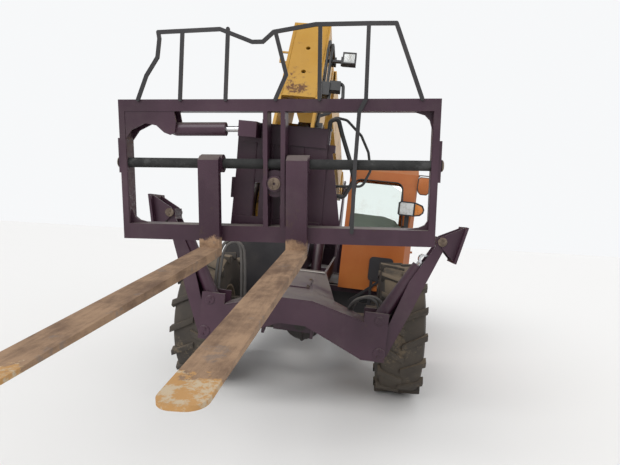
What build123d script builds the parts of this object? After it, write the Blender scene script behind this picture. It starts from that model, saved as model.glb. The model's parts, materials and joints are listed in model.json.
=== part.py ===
"""Telehandler with a side-tilting fork carriage, raised front stabilisers and a cab on its left."""
from build123d import *
import math
import os

# Axes: +X is the machine's left, -Y its front and +Z up, in millimetres.
# Each body is modelled upright in its own frame and stands in the machine by that frame.

# Stance
wheelbase = 2950
track = 1900
lean = 3.0            # the chassis leans on its level axles, seen from the front clockwise
boom_raise = 10.0     # boom above the horizontal
fork_drop = 6.8       # forks below the horizontal
side_tilt = -4.8      # carriage turned on its boss against the chassis' lean
frame_x = -60.0        # the frame's rails and the boom stand to the right of the axles' middle
origin_x = -57.3      # both place the machine's middle over the origin
origin_y = -92.8

# Wheels
tyre_diameter = 1270
tyre_width = 420
rim_diameter = 610
rim_width = 330
rim_sheet = 16
hub_radius = 150
hub_back_radius = 130
spindle_radius = 55
wheel_fit = 0.08
axle_z = tyre_diameter / 2
lug_count = 16        # along each half of the tread
lug_depth = 30
lug_width = 68
lug_sweep = 104       # how far a lug trails from the tread's middle to its shoulder

# Axles and knuckles
kingpin_inset = 150   # from a tyre's middle in to its kingpin
kingpin_spread = track - 2 * kingpin_inset
kingpin_radius = 28
knuckle_radius = 135
beam_radius = 105
differential_radius = 200
yoke_gap = 142        # half the height between the yoke's arms
yoke_arm = 38
yoke_half_width = 58
trunnion_radius = 60

# Frame rails
rail_gap = 400
rail_thickness = 25
frame_front_y = -755
frame_rear_y = wheelbase + 750
rail_top_z = 1100
rail_bottom_z = 560
rail_arch_z = 800
rail_outer_x = rail_gap / 2 + rail_thickness

# Front beam and stabilisers
beam_depth = 220
beam_crown_z = 1008
bracket_inner_x = 577
bracket_outer_x = 772
bracket_top_z = 975
bracket_bottom_z = 583
bracket_plate = 24
arm_pin = (724, 648)
arm_pin_radius = 35
ram_pin = (700, 914)
ram_pin_radius = 26
foot_pin = (1120, 1597)
foot_pin_radius = 24
arm_ram_pin = (1004, 1440)
arm_width = 158
arm_plate = 14
arm_clearance = 5

# Boom, its pivot on the frame's rear tower
boom_pivot = (wheelbase + 350, 2150)
boom_pin_radius = 45
boom_fit = 0.08
boom_wall = 8
inner_section = (240, 300)
section_gap = 14
outer_front = 3850
middle_front = 3980
inner_front = 4250
boom_cheek = 20
pad_clearance = 0.3
head_width = 280
head_plate = 20
attachment_pin = (-4928, -1305)
attachment_pin_radius = 40
tilt_ram_base = (-4294, -524)

# Adapter and carriage
adapter_width = 570
adapter_face_y = -170
adapter_plate = 32
adapter_ear = 30
tilt_lug = (-10, 350)
carriage_boss = (5, 178)
adapter_middle_x = 12
carriage_pin_radius = 45
carriage_width = 1830
carriage_bottom = -340
carriage_top = 471
carriage_front_y = -156
carriage_rear_y = -56
shaft_radius = 29
shaft_at = (-115, 112)
fork_width = 120
fork_thickness = 50
fork_length = 1775
fork_tip_radius = 48
fork_sleeve = 130
left_fork_x = -369
right_fork_x = 137
shaft_fit = 0.5

# Cab
cab_inner_x = 290
cab_outer_x = 1080
cab_front_y = 725
cab_corner = (80, 131)    # the front outer corner is cut by this much across and along
cab_rear_y = wheelbase - 770
cab_floor_z = 900
cab_roof_z = 2340
cab_wall = 40
door_front_y = 860
door_rear_y = 1640
door_gap = 6
door_hinge_x = cab_outer_x + 15
door_hinges_z = (1150, 2050)
hinge_radius = 12
hinge_height = 60

outrigger_height = 60
outrigger_tip_x = 880

# Engine bay on the right
bay_outer_x = 1080
bay_front_y = 740
bay_rear_y = wheelbase - 770
bay_bottom_z = 600
bay_top_z = 1340
bay_sheet = 8


def turned(point, frame_angle_x=0.0, frame_angle_y=0.0, frame_angle_z=0.0):
    """A frame at a point, turned about its own axes."""
    return Pos(*point) * Rot(frame_angle_x, frame_angle_y, frame_angle_z)


ground_frame = Pos(origin_x, origin_y, 0)
chassis_frame = ground_frame * turned((0, 0, axle_z), frame_angle_y=lean) * Pos(0, 0, -axle_z)
boom_frame = chassis_frame * turned((frame_x, *boom_pivot), frame_angle_x=-boom_raise)
adapter_frame = boom_frame * turned((0, *attachment_pin), frame_angle_x=boom_raise + fork_drop)
carriage_frame = adapter_frame * turned((carriage_boss[0], adapter_face_y, carriage_boss[1]),
                                        frame_angle_y=side_tilt)


def side_plane(x):
    """A plane across the machine: its first axis is +Y, its second +Z, and it faces +X."""
    return Plane(origin=(x, 0, 0), x_dir=(0, 1, 0), z_dir=(1, 0, 0))


def face_plane(y):
    """A plane seen from the front: its first axis is +X, its second +Z, and it faces the front."""
    return Plane(origin=(0, y, 0), x_dir=(1, 0, 0), z_dir=(0, -1, 0))


def along(start, end):
    """The place midway between two points of a sketch, turned along them."""
    turn = math.degrees(math.atan2(end[1] - start[1], end[0] - start[0]))
    return Pos((start[0] + end[0]) / 2, (start[1] + end[1]) / 2) * Rot(0, 0, turn)


def hose(points, radius, bend):
    """A pipe or hose of straight runs joined by round bends."""
    with BuildPart() as run:
        with BuildLine():
            path = FilletPolyline(*points, radius=bend)
        with BuildSketch(Plane(origin=path @ 0, z_dir=path % 0)):
            Circle(radius)
        sweep(path=path)
    return run.part


def write(shape, name, frame):
    """Place a piece by its body's frame and write it under its name."""
    placed = frame * shape
    placed.label = name
    export_step(placed, f"parts/{name}.step")
    return placed


os.makedirs("parts", exist_ok=True)

# Wheels: the same wheel four times, its axle along X and its outer side towards +X
with BuildPart() as tyre:
    half = tyre_width / 2
    seat = rim_width / 2
    bead = rim_diameter / 2
    crown = tyre_diameter / 2 - lug_depth
    carcass = [
        # place across, radius
        (-seat, bead + 14),
        (4 - half, bead + 120),
        (36 - half, crown),
        (half - 36, crown),
        (half - 4, bead + 120),
        (seat, bead + 14),
    ]
    for x, radius in carcass:
        with BuildSketch(side_plane(x)):
            RegularPolygon(radius, 2 * lug_count)
    loft(ruled=True)
    with BuildSketch(side_plane(-half)):
        Circle(bead)
    extrude(amount=tyre_width, mode=Mode.SUBTRACT)
    lug_foot = crown - 40
    lug_reach = math.sqrt((tyre_diameter / 2) ** 2 - ((lug_sweep + lug_width) / 2) ** 2)
    with BuildPart(mode=Mode.PRIVATE) as lug:
        with BuildSketch(Plane.XY.offset(lug_foot)):
            with BuildLine():
                ahead = -(lug_sweep + lug_width) / 2
                Polyline((-14, ahead), (half, ahead + lug_sweep), (half, ahead + lug_sweep + lug_width),
                         (-14, ahead + lug_width), (-14, ahead))
            make_face()
        extrude(amount=lug_reach - lug_foot)
    pitch = 360 / lug_count
    for step in range(lug_count):
        add(Rot(step * pitch, 0, 0) * lug.part)
        add(Rot((step + 0.5) * pitch, 0, 0) * mirror(lug.part, about=Plane.YZ))

disc_x = 50
with BuildPart() as rim:
    with BuildSketch(Plane.XZ):
        with BuildLine():
            half = rim_width / 2
            outer = rim_diameter / 2 - 0.3
            Polyline((-half, outer), (half, outer), (half, outer - rim_sheet),
                     (disc_x + 24, outer - rim_sheet - 26),
                     (disc_x + 24, hub_radius), (disc_x + 60, hub_radius - 12), (disc_x + 90, hub_radius - 60),
                     (disc_x + 90, 0), (disc_x + 60, 0), (disc_x + 60, spindle_radius + wheel_fit),
                     (-60, spindle_radius + wheel_fit), (-60, hub_back_radius), (disc_x, hub_back_radius),
                     (disc_x, outer - rim_sheet - 26), (-half, outer - rim_sheet), (-half, outer))
        make_face()
    revolve(axis=Axis.X)

# Knuckle: a swivel drum on two kingpins, with the spindle that carries the wheel
wheel_from_kingpin = track / 2 - kingpin_spread / 2
drum_inner_x = -65
drum_outer_x = 76
with BuildPart() as knuckle:
    with BuildSketch(side_plane(drum_inner_x)):
        Circle(knuckle_radius)
    extrude(amount=drum_outer_x - drum_inner_x)
    with BuildSketch(side_plane(drum_outer_x)):
        Circle(spindle_radius)
    extrude(amount=wheel_from_kingpin + disc_x + 55 - drum_outer_x)
    with BuildSketch(Plane.XY):
        Circle(kingpin_radius)
    extrude(amount=yoke_gap + yoke_arm + 6, both=True)

wheels = [
    # name, side (+1 is the machine's left), distance behind the front axle
    ("front_left", 1, 0),
    ("front_right", -1, 0),
    ("rear_left", 1, wheelbase),
    ("rear_right", -1, wheelbase),
]
for name, side, y in wheels:
    turn = Rot(0, 0, 0 if side > 0 else 180)
    wheel_frame = ground_frame * Pos(side * track / 2, y, axle_z) * turn
    kingpin_frame = ground_frame * Pos(side * kingpin_spread / 2, y, axle_z) * turn
    write(tyre.part, f"tyre_{name}", wheel_frame)
    write(rim.part, f"rim_{name}", wheel_frame)
    write(knuckle.part, f"knuckle_{name}", kingpin_frame)

# Axle: a tube with its differential, a yoke at each end and a trunnion along the machine
yoke_root_x = kingpin_spread / 2 - 157
yoke_tip_x = kingpin_spread / 2 + yoke_half_width
trunnion_half = 262
with BuildPart() as axle:
    with BuildSketch(side_plane(0)):
        Circle(beam_radius)
    extrude(amount=yoke_root_x, both=True)
    Sphere(differential_radius)
    with BuildSketch(face_plane(0)):
        Circle(trunnion_radius)
    extrude(amount=trunnion_half, both=True)
    for side in (1, -1):
        with BuildSketch(face_plane(0)):
            with Locations((side * (yoke_root_x + yoke_tip_x) / 2, 0)):
                Rectangle(yoke_tip_x - yoke_root_x + 40, 2 * (yoke_gap + yoke_arm))
            with Locations((side * ((yoke_root_x + yoke_tip_x) / 2 + 40), 0)):
                Rectangle(yoke_tip_x - yoke_root_x + 80, 2 * yoke_gap, mode=Mode.SUBTRACT)
        extrude(amount=yoke_half_width, both=True)
    with Locations((kingpin_spread / 2, 0, 0), (-kingpin_spread / 2, 0, 0)):
        Hole(kingpin_radius + wheel_fit)
write(axle.part, "front_axle", ground_frame * Pos(0, 0, axle_z))
write(axle.part, "rear_axle", ground_frame * Pos(0, wheelbase, axle_z))

# Frame: a side plate each side with its part of the rear tower and its outriggers, and a mount over each axle
tower_top_z = boom_pivot[1] + 150
lift_ram_base = (1500, 680)
lift_ram_radius = 70
lift_pin_radius = 35
outriggers_y = (850, bay_rear_y - 130)
for name, side, outrigger_top_z in (("left", 1, cab_floor_z - 0.3), ("right", -1, bay_bottom_z - 0.3)):
    inner_x = frame_x + side * rail_gap / 2
    outer_x = frame_x + side * rail_outer_x
    with BuildPart() as rail:
        with BuildSketch(side_plane(min(inner_x, outer_x))):
            with BuildLine():
                arch = 380
                bearing = 480
                Polyline((frame_front_y, 640), (-arch, rail_arch_z), (arch, rail_arch_z),
                         (bearing, rail_bottom_z),
                         (wheelbase - bearing, rail_bottom_z), (wheelbase - arch, rail_arch_z),
                         (wheelbase + arch, rail_arch_z), (wheelbase + bearing, 600), (frame_rear_y, 600),
                         (frame_rear_y, 1150), (boom_pivot[0] + 210, boom_pivot[1] - 150),
                         (boom_pivot[0] + 150, tower_top_z), (boom_pivot[0] - 150, tower_top_z),
                         (wheelbase - 500, rail_top_z), (200, rail_top_z), (-560, 940), (frame_front_y, 900),
                         (frame_front_y, 640))
            make_face()
        extrude(amount=rail_thickness)
        with BuildSketch(side_plane(outer_x)):
            with Locations(boom_pivot):
                Circle(boom_pin_radius + 45)
        extrude(amount=side * 14)
        for y in outriggers_y:
            with BuildSketch(side_plane(outer_x)):
                with Locations((y, outrigger_top_z - outrigger_height / 2)):
                    Rectangle(80, outrigger_height)
            extrude(amount=side * outrigger_tip_x - outer_x)
        for spot, radius in ((boom_pivot, boom_pin_radius), (lift_ram_base, lift_pin_radius)):
            with BuildSketch(side_plane(frame_x)):
                with Locations(spot):
                    Circle(radius + boom_fit)
            extrude(amount=side * (rail_outer_x + 40), mode=Mode.SUBTRACT)
    write(rail.part, f"frame_rail_{name}", chassis_frame)

mount_plate_y = 245
mount_plate = 30
mount_bottom_z = 565
mount_top_z = 880
mount_width = rail_gap - 0.6
with BuildPart() as axle_mount:
    for y in (-mount_plate_y, mount_plate_y):
        with BuildSketch(face_plane(y)):
            with Locations((frame_x, (mount_bottom_z + mount_top_z) / 2)):
                Rectangle(mount_width, mount_top_z - mount_bottom_z)
            with Locations((0, axle_z)):
                Circle(trunnion_radius + 0.3, mode=Mode.SUBTRACT)
        extrude(amount=mount_plate / 2, both=True)
    with BuildSketch(Plane.XY.offset(mount_top_z - 20)):
        with Locations((frame_x, 0)):
            Rectangle(mount_width, 2 * mount_plate_y + mount_plate)
    extrude(amount=20)
write(axle_mount.part, "axle_mount_front", chassis_frame)
write(axle_mount.part, "axle_mount_rear", chassis_frame * Pos(0, wheelbase, 0))

# Front beam: an arched box with the stabilisers' brackets at its ends, and the nose behind it
beam_front_y = frame_front_y - beam_depth
with BuildPart() as front_beam:
    with BuildSketch(face_plane(frame_front_y)):
        with BuildLine():
            end = bracket_inner_x + 10
            shoulder_z = beam_crown_z - 120
            belly_z = beam_crown_z - 212
            Polyline((-130, beam_crown_z), (130, beam_crown_z), (end, shoulder_z), (end, bracket_bottom_z),
                     (110, belly_z), (-110, belly_z), (-end, bracket_bottom_z), (-end, shoulder_z),
                     (-130, beam_crown_z))
        make_face()
    extrude(amount=beam_depth)
    for side in (1, -1):
        for y in (frame_front_y, beam_front_y + bracket_plate):
            with BuildSketch(face_plane(y)):
                with Locations((side * (bracket_inner_x + bracket_outer_x) / 2,
                                (bracket_top_z + bracket_bottom_z) / 2)):
                    Rectangle(bracket_outer_x - bracket_inner_x, bracket_top_z - bracket_bottom_z)
            extrude(amount=bracket_plate)
        for (x, z), radius in ((arm_pin, arm_pin_radius), (ram_pin, ram_pin_radius)):
            with BuildSketch(face_plane(frame_front_y)):
                with Locations((side * x, z)):
                    Circle(radius)
            extrude(amount=beam_depth)
write(front_beam.part, "front_beam", chassis_frame)

nose_sheet = 20
nose_stations = [
    # y, middle, half width, edge height, half width of the flat crown, crown height
    (frame_front_y, 0, bracket_inner_x, beam_crown_z - 117, 130, beam_crown_z),
    (-560, -20, 330, 958, 130, 1027),
    (190, frame_x, rail_outer_x, rail_top_z + 21, 130, rail_top_z + 24),
]
with BuildPart() as frame_nose:
    for y, middle_x, edge_x, edge_z, crown_x, crown_z in nose_stations:
        with BuildSketch(face_plane(y)):
            with BuildLine():
                upper = [(middle_x - edge_x, edge_z), (middle_x - crown_x, crown_z),
                         (middle_x + crown_x, crown_z), (middle_x + edge_x, edge_z)]
                lower = [(x, z - nose_sheet) for x, z in reversed(upper)]
                Polyline(*upper, *lower, upper[0])
            make_face()
    loft(ruled=True)
    with BuildSketch(side_plane(-150)):
        with BuildLine():
            Polyline((-520, 1028), (-520, 1044), (-230, 1084), (-230, 1066), (-520, 1028))
        make_face()
    extrude(amount=220)
write(frame_nose.part, "frame_nose", chassis_frame)

# Stabilisers: arm, foot, and a hydraulic ram between the bracket and the arm
arm_middle_y = frame_front_y - beam_depth / 2
for name, side in (("left", 1), ("right", -1)):
    with BuildPart() as arm:
        with BuildSketch(face_plane(arm_middle_y + arm_width / 2)):
            with BuildLine():
                pin_x, pin_z = arm_pin
                outline = [(pin_x - 58, pin_z - 20), (pin_x + 10, pin_z - 60), (pin_x + 62, pin_z - 20),
                           (930, 980),
                           (1030, 1250), (1150, 1560), (1155, 1630), (1085, 1635), (1075, 1560), (900, 1250),
                           (800, 950),
                           (pin_x + 21, pin_z + 140)]
                points = [(side * x, z) for x, z in outline]
                Polyline(*points, points[0])
            make_face()
        extrude(amount=arm_width)
        with BuildSketch(face_plane(arm_middle_y + arm_width / 2 - arm_plate)):
            with BuildLine():
                # the outer wall stops short where the ram's eye swings out
                hollow = [(pin_x - 70, pin_z + 70), (pin_x + 88, pin_z + 70), (907, 980), (990, 1200),
                          (1060, 1200),
                          (1160, 1490), (1086, 1530), (1060, 1560), (880, 1250), (780, 950),
                          (pin_x - 74, pin_z + 140)]
                points = [(side * x, z) for x, z in hollow]
                Polyline(*points, points[0])
            make_face()
        extrude(amount=arm_width - 2 * arm_plate, mode=Mode.SUBTRACT)
        for (x, z), radius in ((arm_pin, arm_pin_radius + boom_fit), (foot_pin, foot_pin_radius + boom_fit)):
            with BuildSketch(face_plane(arm_middle_y + arm_width / 2)):
                with Locations((side * x, z)):
                    Circle(radius)
            extrude(amount=arm_width, mode=Mode.SUBTRACT)
    write(arm.part, f"stabiliser_arm_{name}", chassis_frame)

    foot_cheek_y = arm_width / 2 + arm_clearance
    foot_cheek = 14
    with BuildPart() as foot:
        with BuildSketch(face_plane(arm_middle_y + 150)):
            with BuildLine():
                points = [(side * x, z) for x, z in ((1299, 1730), (1234, 1437), (1215, 1441), (1280, 1734))]
                Polyline(*points, points[0])
            make_face()
        extrude(amount=300)
        for y in (arm_middle_y + foot_cheek_y + foot_cheek, arm_middle_y - foot_cheek_y):
            with BuildSketch(face_plane(y)):
                with BuildLine():
                    points = [(side * x, z) for x, z in ((1285, 1728), (1225, 1445), (1126, 1545),
                                                         (1085, 1597), (1113, 1640))]
                    Polyline(*points, points[0])
                make_face()
            extrude(amount=foot_cheek)
        with BuildSketch(face_plane(arm_middle_y + foot_cheek_y)):
            with Locations((side * foot_pin[0], foot_pin[1])):
                Circle(foot_pin_radius)
        extrude(amount=2 * foot_cheek_y)
    write(foot.part, f"stabiliser_foot_{name}", chassis_frame)

# Hydraulic rams. Each is closed-length, base and rod eye, in the frame of the body that holds its base
def ram_pieces(base, eye, pin_axis, sizes):
    """Barrel and rod between two points of a frame, each with an eye across the ram."""
    base = Vector(*base)
    along = Vector(*eye) - base
    span = along.length
    direction = along.normalized()
    barrel_length = sizes["closed"] - sizes["eye"] - sizes["head_gap"]
    gland = 36
    with BuildPart() as barrel:
        with BuildSketch(Plane(origin=base + direction * (sizes["eye"] * 0.7), z_dir=direction)):
            Circle(sizes["barrel"])
        extrude(amount=barrel_length - sizes["eye"] * 0.7)
        with BuildSketch(Plane(origin=base, z_dir=pin_axis)):
            Circle(sizes["eye"])
        extrude(amount=sizes["base_width"] / 2, both=True)
        with BuildSketch(Plane(origin=base + direction * (sizes["eye"] + 20), z_dir=direction)):
            Circle(sizes["barrel"] - sizes["wall"])
        extrude(amount=barrel_length - sizes["eye"] - 20 - gland, mode=Mode.SUBTRACT)
        with BuildSketch(Plane(origin=base + direction * (sizes["eye"] + 20), z_dir=direction)):
            Circle(sizes["rod"] + 0.5)
        extrude(amount=barrel_length, mode=Mode.SUBTRACT)
        if sizes["pin"]:
            with BuildSketch(Plane(origin=base, z_dir=pin_axis)):
                Circle(sizes["pin"] + boom_fit)
            extrude(amount=sizes["base_width"], both=True, mode=Mode.SUBTRACT)
        else:
            with BuildSketch(Plane(origin=base, z_dir=pin_axis)):
                Circle(sizes["trunnion"])
            extrude(amount=sizes["trunnion_reach"], both=True)
    rod_length = sizes["closed"] - sizes["eye"] - 40 - sizes["play"]
    with BuildPart() as rod:
        with BuildSketch(Plane(origin=base + direction * (span - rod_length), z_dir=direction)):
            Circle(sizes["rod"])
        extrude(amount=rod_length - sizes["eye"] * 0.7)
        with BuildSketch(Plane(origin=base + along, z_dir=pin_axis)):
            Circle(sizes["eye"])
        extrude(amount=sizes["eye_width"] / 2, both=True)
        with BuildSketch(Plane(origin=base + along, z_dir=pin_axis)):
            Circle(sizes["eye_bore"])
        extrude(amount=sizes["eye_width"], both=True, mode=Mode.SUBTRACT)
    return barrel.part, rod.part


def beside_pivot(point, pivot, degrees):
    """A point of a plane turned about a pivot in it."""
    angle = math.radians(degrees)
    across = point[0] - pivot[0]
    up = point[1] - pivot[1]
    return (pivot[0] + across * math.cos(angle) - up * math.sin(angle),
            pivot[1] + across * math.sin(angle) + up * math.cos(angle))


boom_lift_pin = (-900, -290)
lift_eye_boom = (boom_pivot[0] + boom_lift_pin[0], boom_pivot[1] + boom_lift_pin[1])
lift_eye = beside_pivot(lift_eye_boom, boom_pivot, -boom_raise)
boom_lower = 13           # degrees down and up from the level boom
boom_upper = 52
lift_closed = math.dist(beside_pivot(lift_eye_boom, boom_pivot, boom_lower - boom_raise), lift_ram_base)
lift_sizes = {"closed": lift_closed, "barrel": lift_ram_radius, "wall": 10, "rod": 42, "eye": 62,
              "base_width": 120, "eye_width": 90, "pin": 0, "trunnion": lift_pin_radius,
              "trunnion_reach": rail_outer_x - 1, "eye_bore": 38, "play": 60, "head_gap": 66}
lift_barrel, lift_rod = ram_pieces((frame_x, *lift_ram_base), (frame_x, *lift_eye), (1, 0, 0), lift_sizes)
write(lift_barrel, "lift_cylinder", chassis_frame)
write(lift_rod, "lift_rod", chassis_frame)

stabiliser_sizes = {"closed": math.dist(ram_pin, arm_ram_pin), "barrel": 54, "wall": 9, "rod": 30, "eye": 44,
                    "base_width": 110, "eye_width": 70, "pin": ram_pin_radius, "eye_bore": 26, "play": 30, "head_gap": 22}
for name, side in (("left", 1), ("right", -1)):
    barrel, rod = ram_pieces((side * ram_pin[0], arm_middle_y, ram_pin[1]),
                             (side * arm_ram_pin[0], arm_middle_y, arm_ram_pin[1]), (0, 1, 0), stabiliser_sizes)
    write(barrel, f"stabiliser_cylinder_{name}", chassis_frame)
    write(rod, f"stabiliser_rod_{name}", chassis_frame)

# Boom sections in the boom's frame: hollow boxes along -Y, one inside the next
def section_size(step):
    """Width and height of the boom's sections, from the inner one out."""
    grow = step * 2 * (section_gap + boom_wall)
    return inner_section[0] + grow, inner_section[1] + grow


def wear_pads(width, height, y, reach, pad_length=120):
    """Pads on a section's four walls at a station: where they stand, and how far they reach."""
    half_w = width / 2
    half_h = height / 2
    with BuildPart() as pads:
        with BuildSketch(face_plane(y)):
            for x, z, w, h in ((0, half_h, width * 0.5, reach), (0, -half_h, width * 0.5, reach),
                               (half_w, 0, reach, height * 0.4), (-half_w, 0, reach, height * 0.4)):
                with Locations((x + math.copysign(reach / 2, x) if x else 0,
                                z + math.copysign(reach / 2, z) if z else 0)):
                    Rectangle(w, h)
        extrude(amount=pad_length)
    return pads.part


pad_reach = section_gap - pad_clearance
outer_w, outer_h = section_size(2)
middle_w, middle_h = section_size(1)
inner_w, inner_h = section_size(0)

with BuildPart() as boom_outer:
    with BuildSketch(face_plane(-60)):
        Rectangle(outer_w, outer_h)
        Rectangle(outer_w - 2 * boom_wall, outer_h - 2 * boom_wall, mode=Mode.SUBTRACT)
    extrude(amount=outer_front - 60)
    for x in (outer_w / 2, -outer_w / 2 - boom_cheek):
        with BuildSketch(side_plane(x)):
            with BuildLine():
                Polyline((-620, -150), (-620, 150), (-200, 170), (60, 140), (130, 60), (130, -60), (60, -140),
                         (-200, -170), (-620, -150))
            make_face()
        extrude(amount=boom_cheek)
    with BuildSketch(side_plane(0)):
        Circle(boom_pin_radius)
    extrude(amount=rail_outer_x + 24, both=True)
    for x in (46, -66):
        with BuildSketch(side_plane(x)):
            with BuildLine():
                y, z = boom_lift_pin
                Polyline((y - 190, -outer_h / 2), (y + 190, -outer_h / 2), (y + 70, z - 60), (y - 70, z - 60),
                         (y - 190, -outer_h / 2))
            make_face()
        extrude(amount=20)
    add(wear_pads(middle_w + 2 * pad_clearance, middle_h + 2 * pad_clearance, -outer_front + 130, pad_reach))
write(boom_outer.part, "boom_outer", boom_frame)

with BuildPart() as boom_middle:
    with BuildSketch(face_plane(-150)):
        Rectangle(middle_w, middle_h)
        Rectangle(middle_w - 2 * boom_wall, middle_h - 2 * boom_wall, mode=Mode.SUBTRACT)
    extrude(amount=middle_front - 150)
    add(wear_pads(inner_w + 2 * pad_clearance, inner_h + 2 * pad_clearance, -middle_front + 130, pad_reach))
    add(wear_pads(middle_w, middle_h, -160, pad_reach))
write(boom_middle.part, "boom_middle", boom_frame)

with BuildPart() as boom_inner:
    with BuildSketch(face_plane(-260)):
        Rectangle(inner_w, inner_h)
        Rectangle(inner_w - 2 * boom_wall, inner_h - 2 * boom_wall, mode=Mode.SUBTRACT)
    extrude(amount=inner_front - 260)
    add(wear_pads(inner_w, inner_h, -270, pad_reach))
    head_outline = [(-4150, 160), (-4556, 212), (-4800, -480), (-4870, -700), (-5020, -1270), (-4990, -1390),
                    (-4870, -1400),
                    (-4810, -1280), (-4600, -860), (-4235, -610), (-4200, -470), (-4060, -155), (-4060, 155)]
    for x in (head_width / 2 - head_plate, -head_width / 2):
        with BuildSketch(side_plane(x)):
            with BuildLine():
                Polyline(*head_outline, head_outline[0])
            make_face()
        extrude(amount=head_plate)
    with BuildSketch(side_plane(-head_width / 2)):
        with BuildLine():
            Polyline((-4150, 160), (-4556, 212), (-4800, -480), (-4782, -486), (-4544, 190), (-4150, 140),
                     (-4150, 160))
        make_face()
    extrude(amount=head_width)
    neck_normal = (-0.943, 0.332)
    for share in (0.36, 0.68):
        y = -4556 - share * 244
        z = 212 - share * 692
        with BuildSketch(Plane(origin=(0, y, z), z_dir=(0, *neck_normal))):
            Circle(17)
        extrude(amount=40, both=True, mode=Mode.SUBTRACT)
    for y, z, across, up in ((-4660, -92, 52, 12), (-4660, -168, 52, 12)):
        with Locations((-head_width / 2 - across / 2 + 2, y, z)):
            Box(across, 12, up)
    with Locations((-head_width / 2 - 50, -4660, -130)):
        Box(12, 12, 88)
    with BuildSketch(side_plane(0)):
        with Locations(attachment_pin):
            Circle(95)
    extrude(amount=head_width / 2, both=True)
    with BuildSketch(side_plane(0)):
        with Locations(attachment_pin):
            Circle(attachment_pin_radius + boom_fit)
    extrude(amount=head_width, both=True, mode=Mode.SUBTRACT)
    with BuildSketch(side_plane(0)):
        with Locations(tilt_ram_base):
            Circle(28)
    extrude(amount=head_width / 2, both=True)
write(boom_inner.part, "boom_inner", boom_frame)

# Work lamp, valve block and pipes on the left of the boom's head
with BuildPart() as work_lamp:
    with Locations((315, -4695, -132)):
        Box(97, 56, 86)
    with BuildSketch(face_plane(-4713)):
        with Locations((315, -132)):
            Rectangle(81, 70)
    extrude(amount=20, mode=Mode.SUBTRACT)
    with Locations((head_width / 2 + 0.3 + 67, -4655, -132)):
        Box(134, 24, 16)
    with Locations((262, -4662, -132)):
        Box(16, 30, 60)
write(work_lamp.part, "work_lamp", boom_frame)

side_x = head_width / 2 + 0.3
with BuildPart() as boom_hoses:
    with Locations((side_x + 30, -4690, -375)):
        Box(60, 90, 96)
    with Locations((side_x + 95, -4690, -345)):
        Box(80, 64, 70)
    for x, y, z in ((side_x + 12, -4300, 60), (side_x + 38, -4330, 20)):
        add(hose([(x, y, z), (x, y - 300, z), (x, -4680, z - 120), (x, -4690, -340)], 10, 45))
    add(hose([(side_x + 110, -4690, -320), (side_x + 150, -4690, -300), (side_x + 160, -4690, -420),
              (side_x + 80, -4740, -560),
              (side_x + 13, -4770, -600), (side_x + 13, -4780, -700)], 12, 28))
    add(hose([(side_x + 60, -4700, -400), (side_x + 60, -4730, -500), (side_x + 13, -4750, -560),
              (side_x + 13, -4800, -690)], 12, 22))
    for y, z in ((-4310, 40), (-4790, -695)):
        with Locations((side_x + 25, y, z)):
            Box(50, 30, 70)
write(boom_hoses.part, "boom_hoses", boom_frame)

# Attachment tilt ram, held in the boom's head
adapter_turn = boom_raise + fork_drop
tilt_lug_boom = beside_pivot((attachment_pin[0] + tilt_lug[0], attachment_pin[1] + tilt_lug[1]),
                             attachment_pin, adapter_turn)
crowd_back = 18
tilt_closed = math.dist(beside_pivot(tilt_lug_boom, attachment_pin, -crowd_back), tilt_ram_base)
tilt_sizes = {"closed": tilt_closed, "barrel": 48, "wall": 8, "rod": 26, "eye": 44, "base_width": 100,
              "eye_width": 70,
              "pin": 28, "eye_bore": 24, "play": 20, "head_gap": 22}
tilt_barrel, tilt_rod = ram_pieces((0, *tilt_ram_base), (0, *tilt_lug_boom), (1, 0, 0), tilt_sizes)
write(tilt_barrel, "tilt_cylinder", boom_frame)
write(tilt_rod, "tilt_rod", boom_frame)

# Adapter: a face plate on two ears about the attachment pin, with the carriage's pin and the side ram's bracket
side_ram_eye = (-162, 310)
side_ram_y = -100
side_ram_base = (-610, 308)
lug_plate = 12
lug_gap = 82
side_pin_radius = 18


def turned_across(point, degrees):
    """A point seen from the front, turned with a frame about the axis that faces the viewer."""
    angle = math.radians(degrees)
    return (point[0] * math.cos(angle) + point[1] * math.sin(angle),
            -point[0] * math.sin(angle) + point[1] * math.cos(angle))


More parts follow.
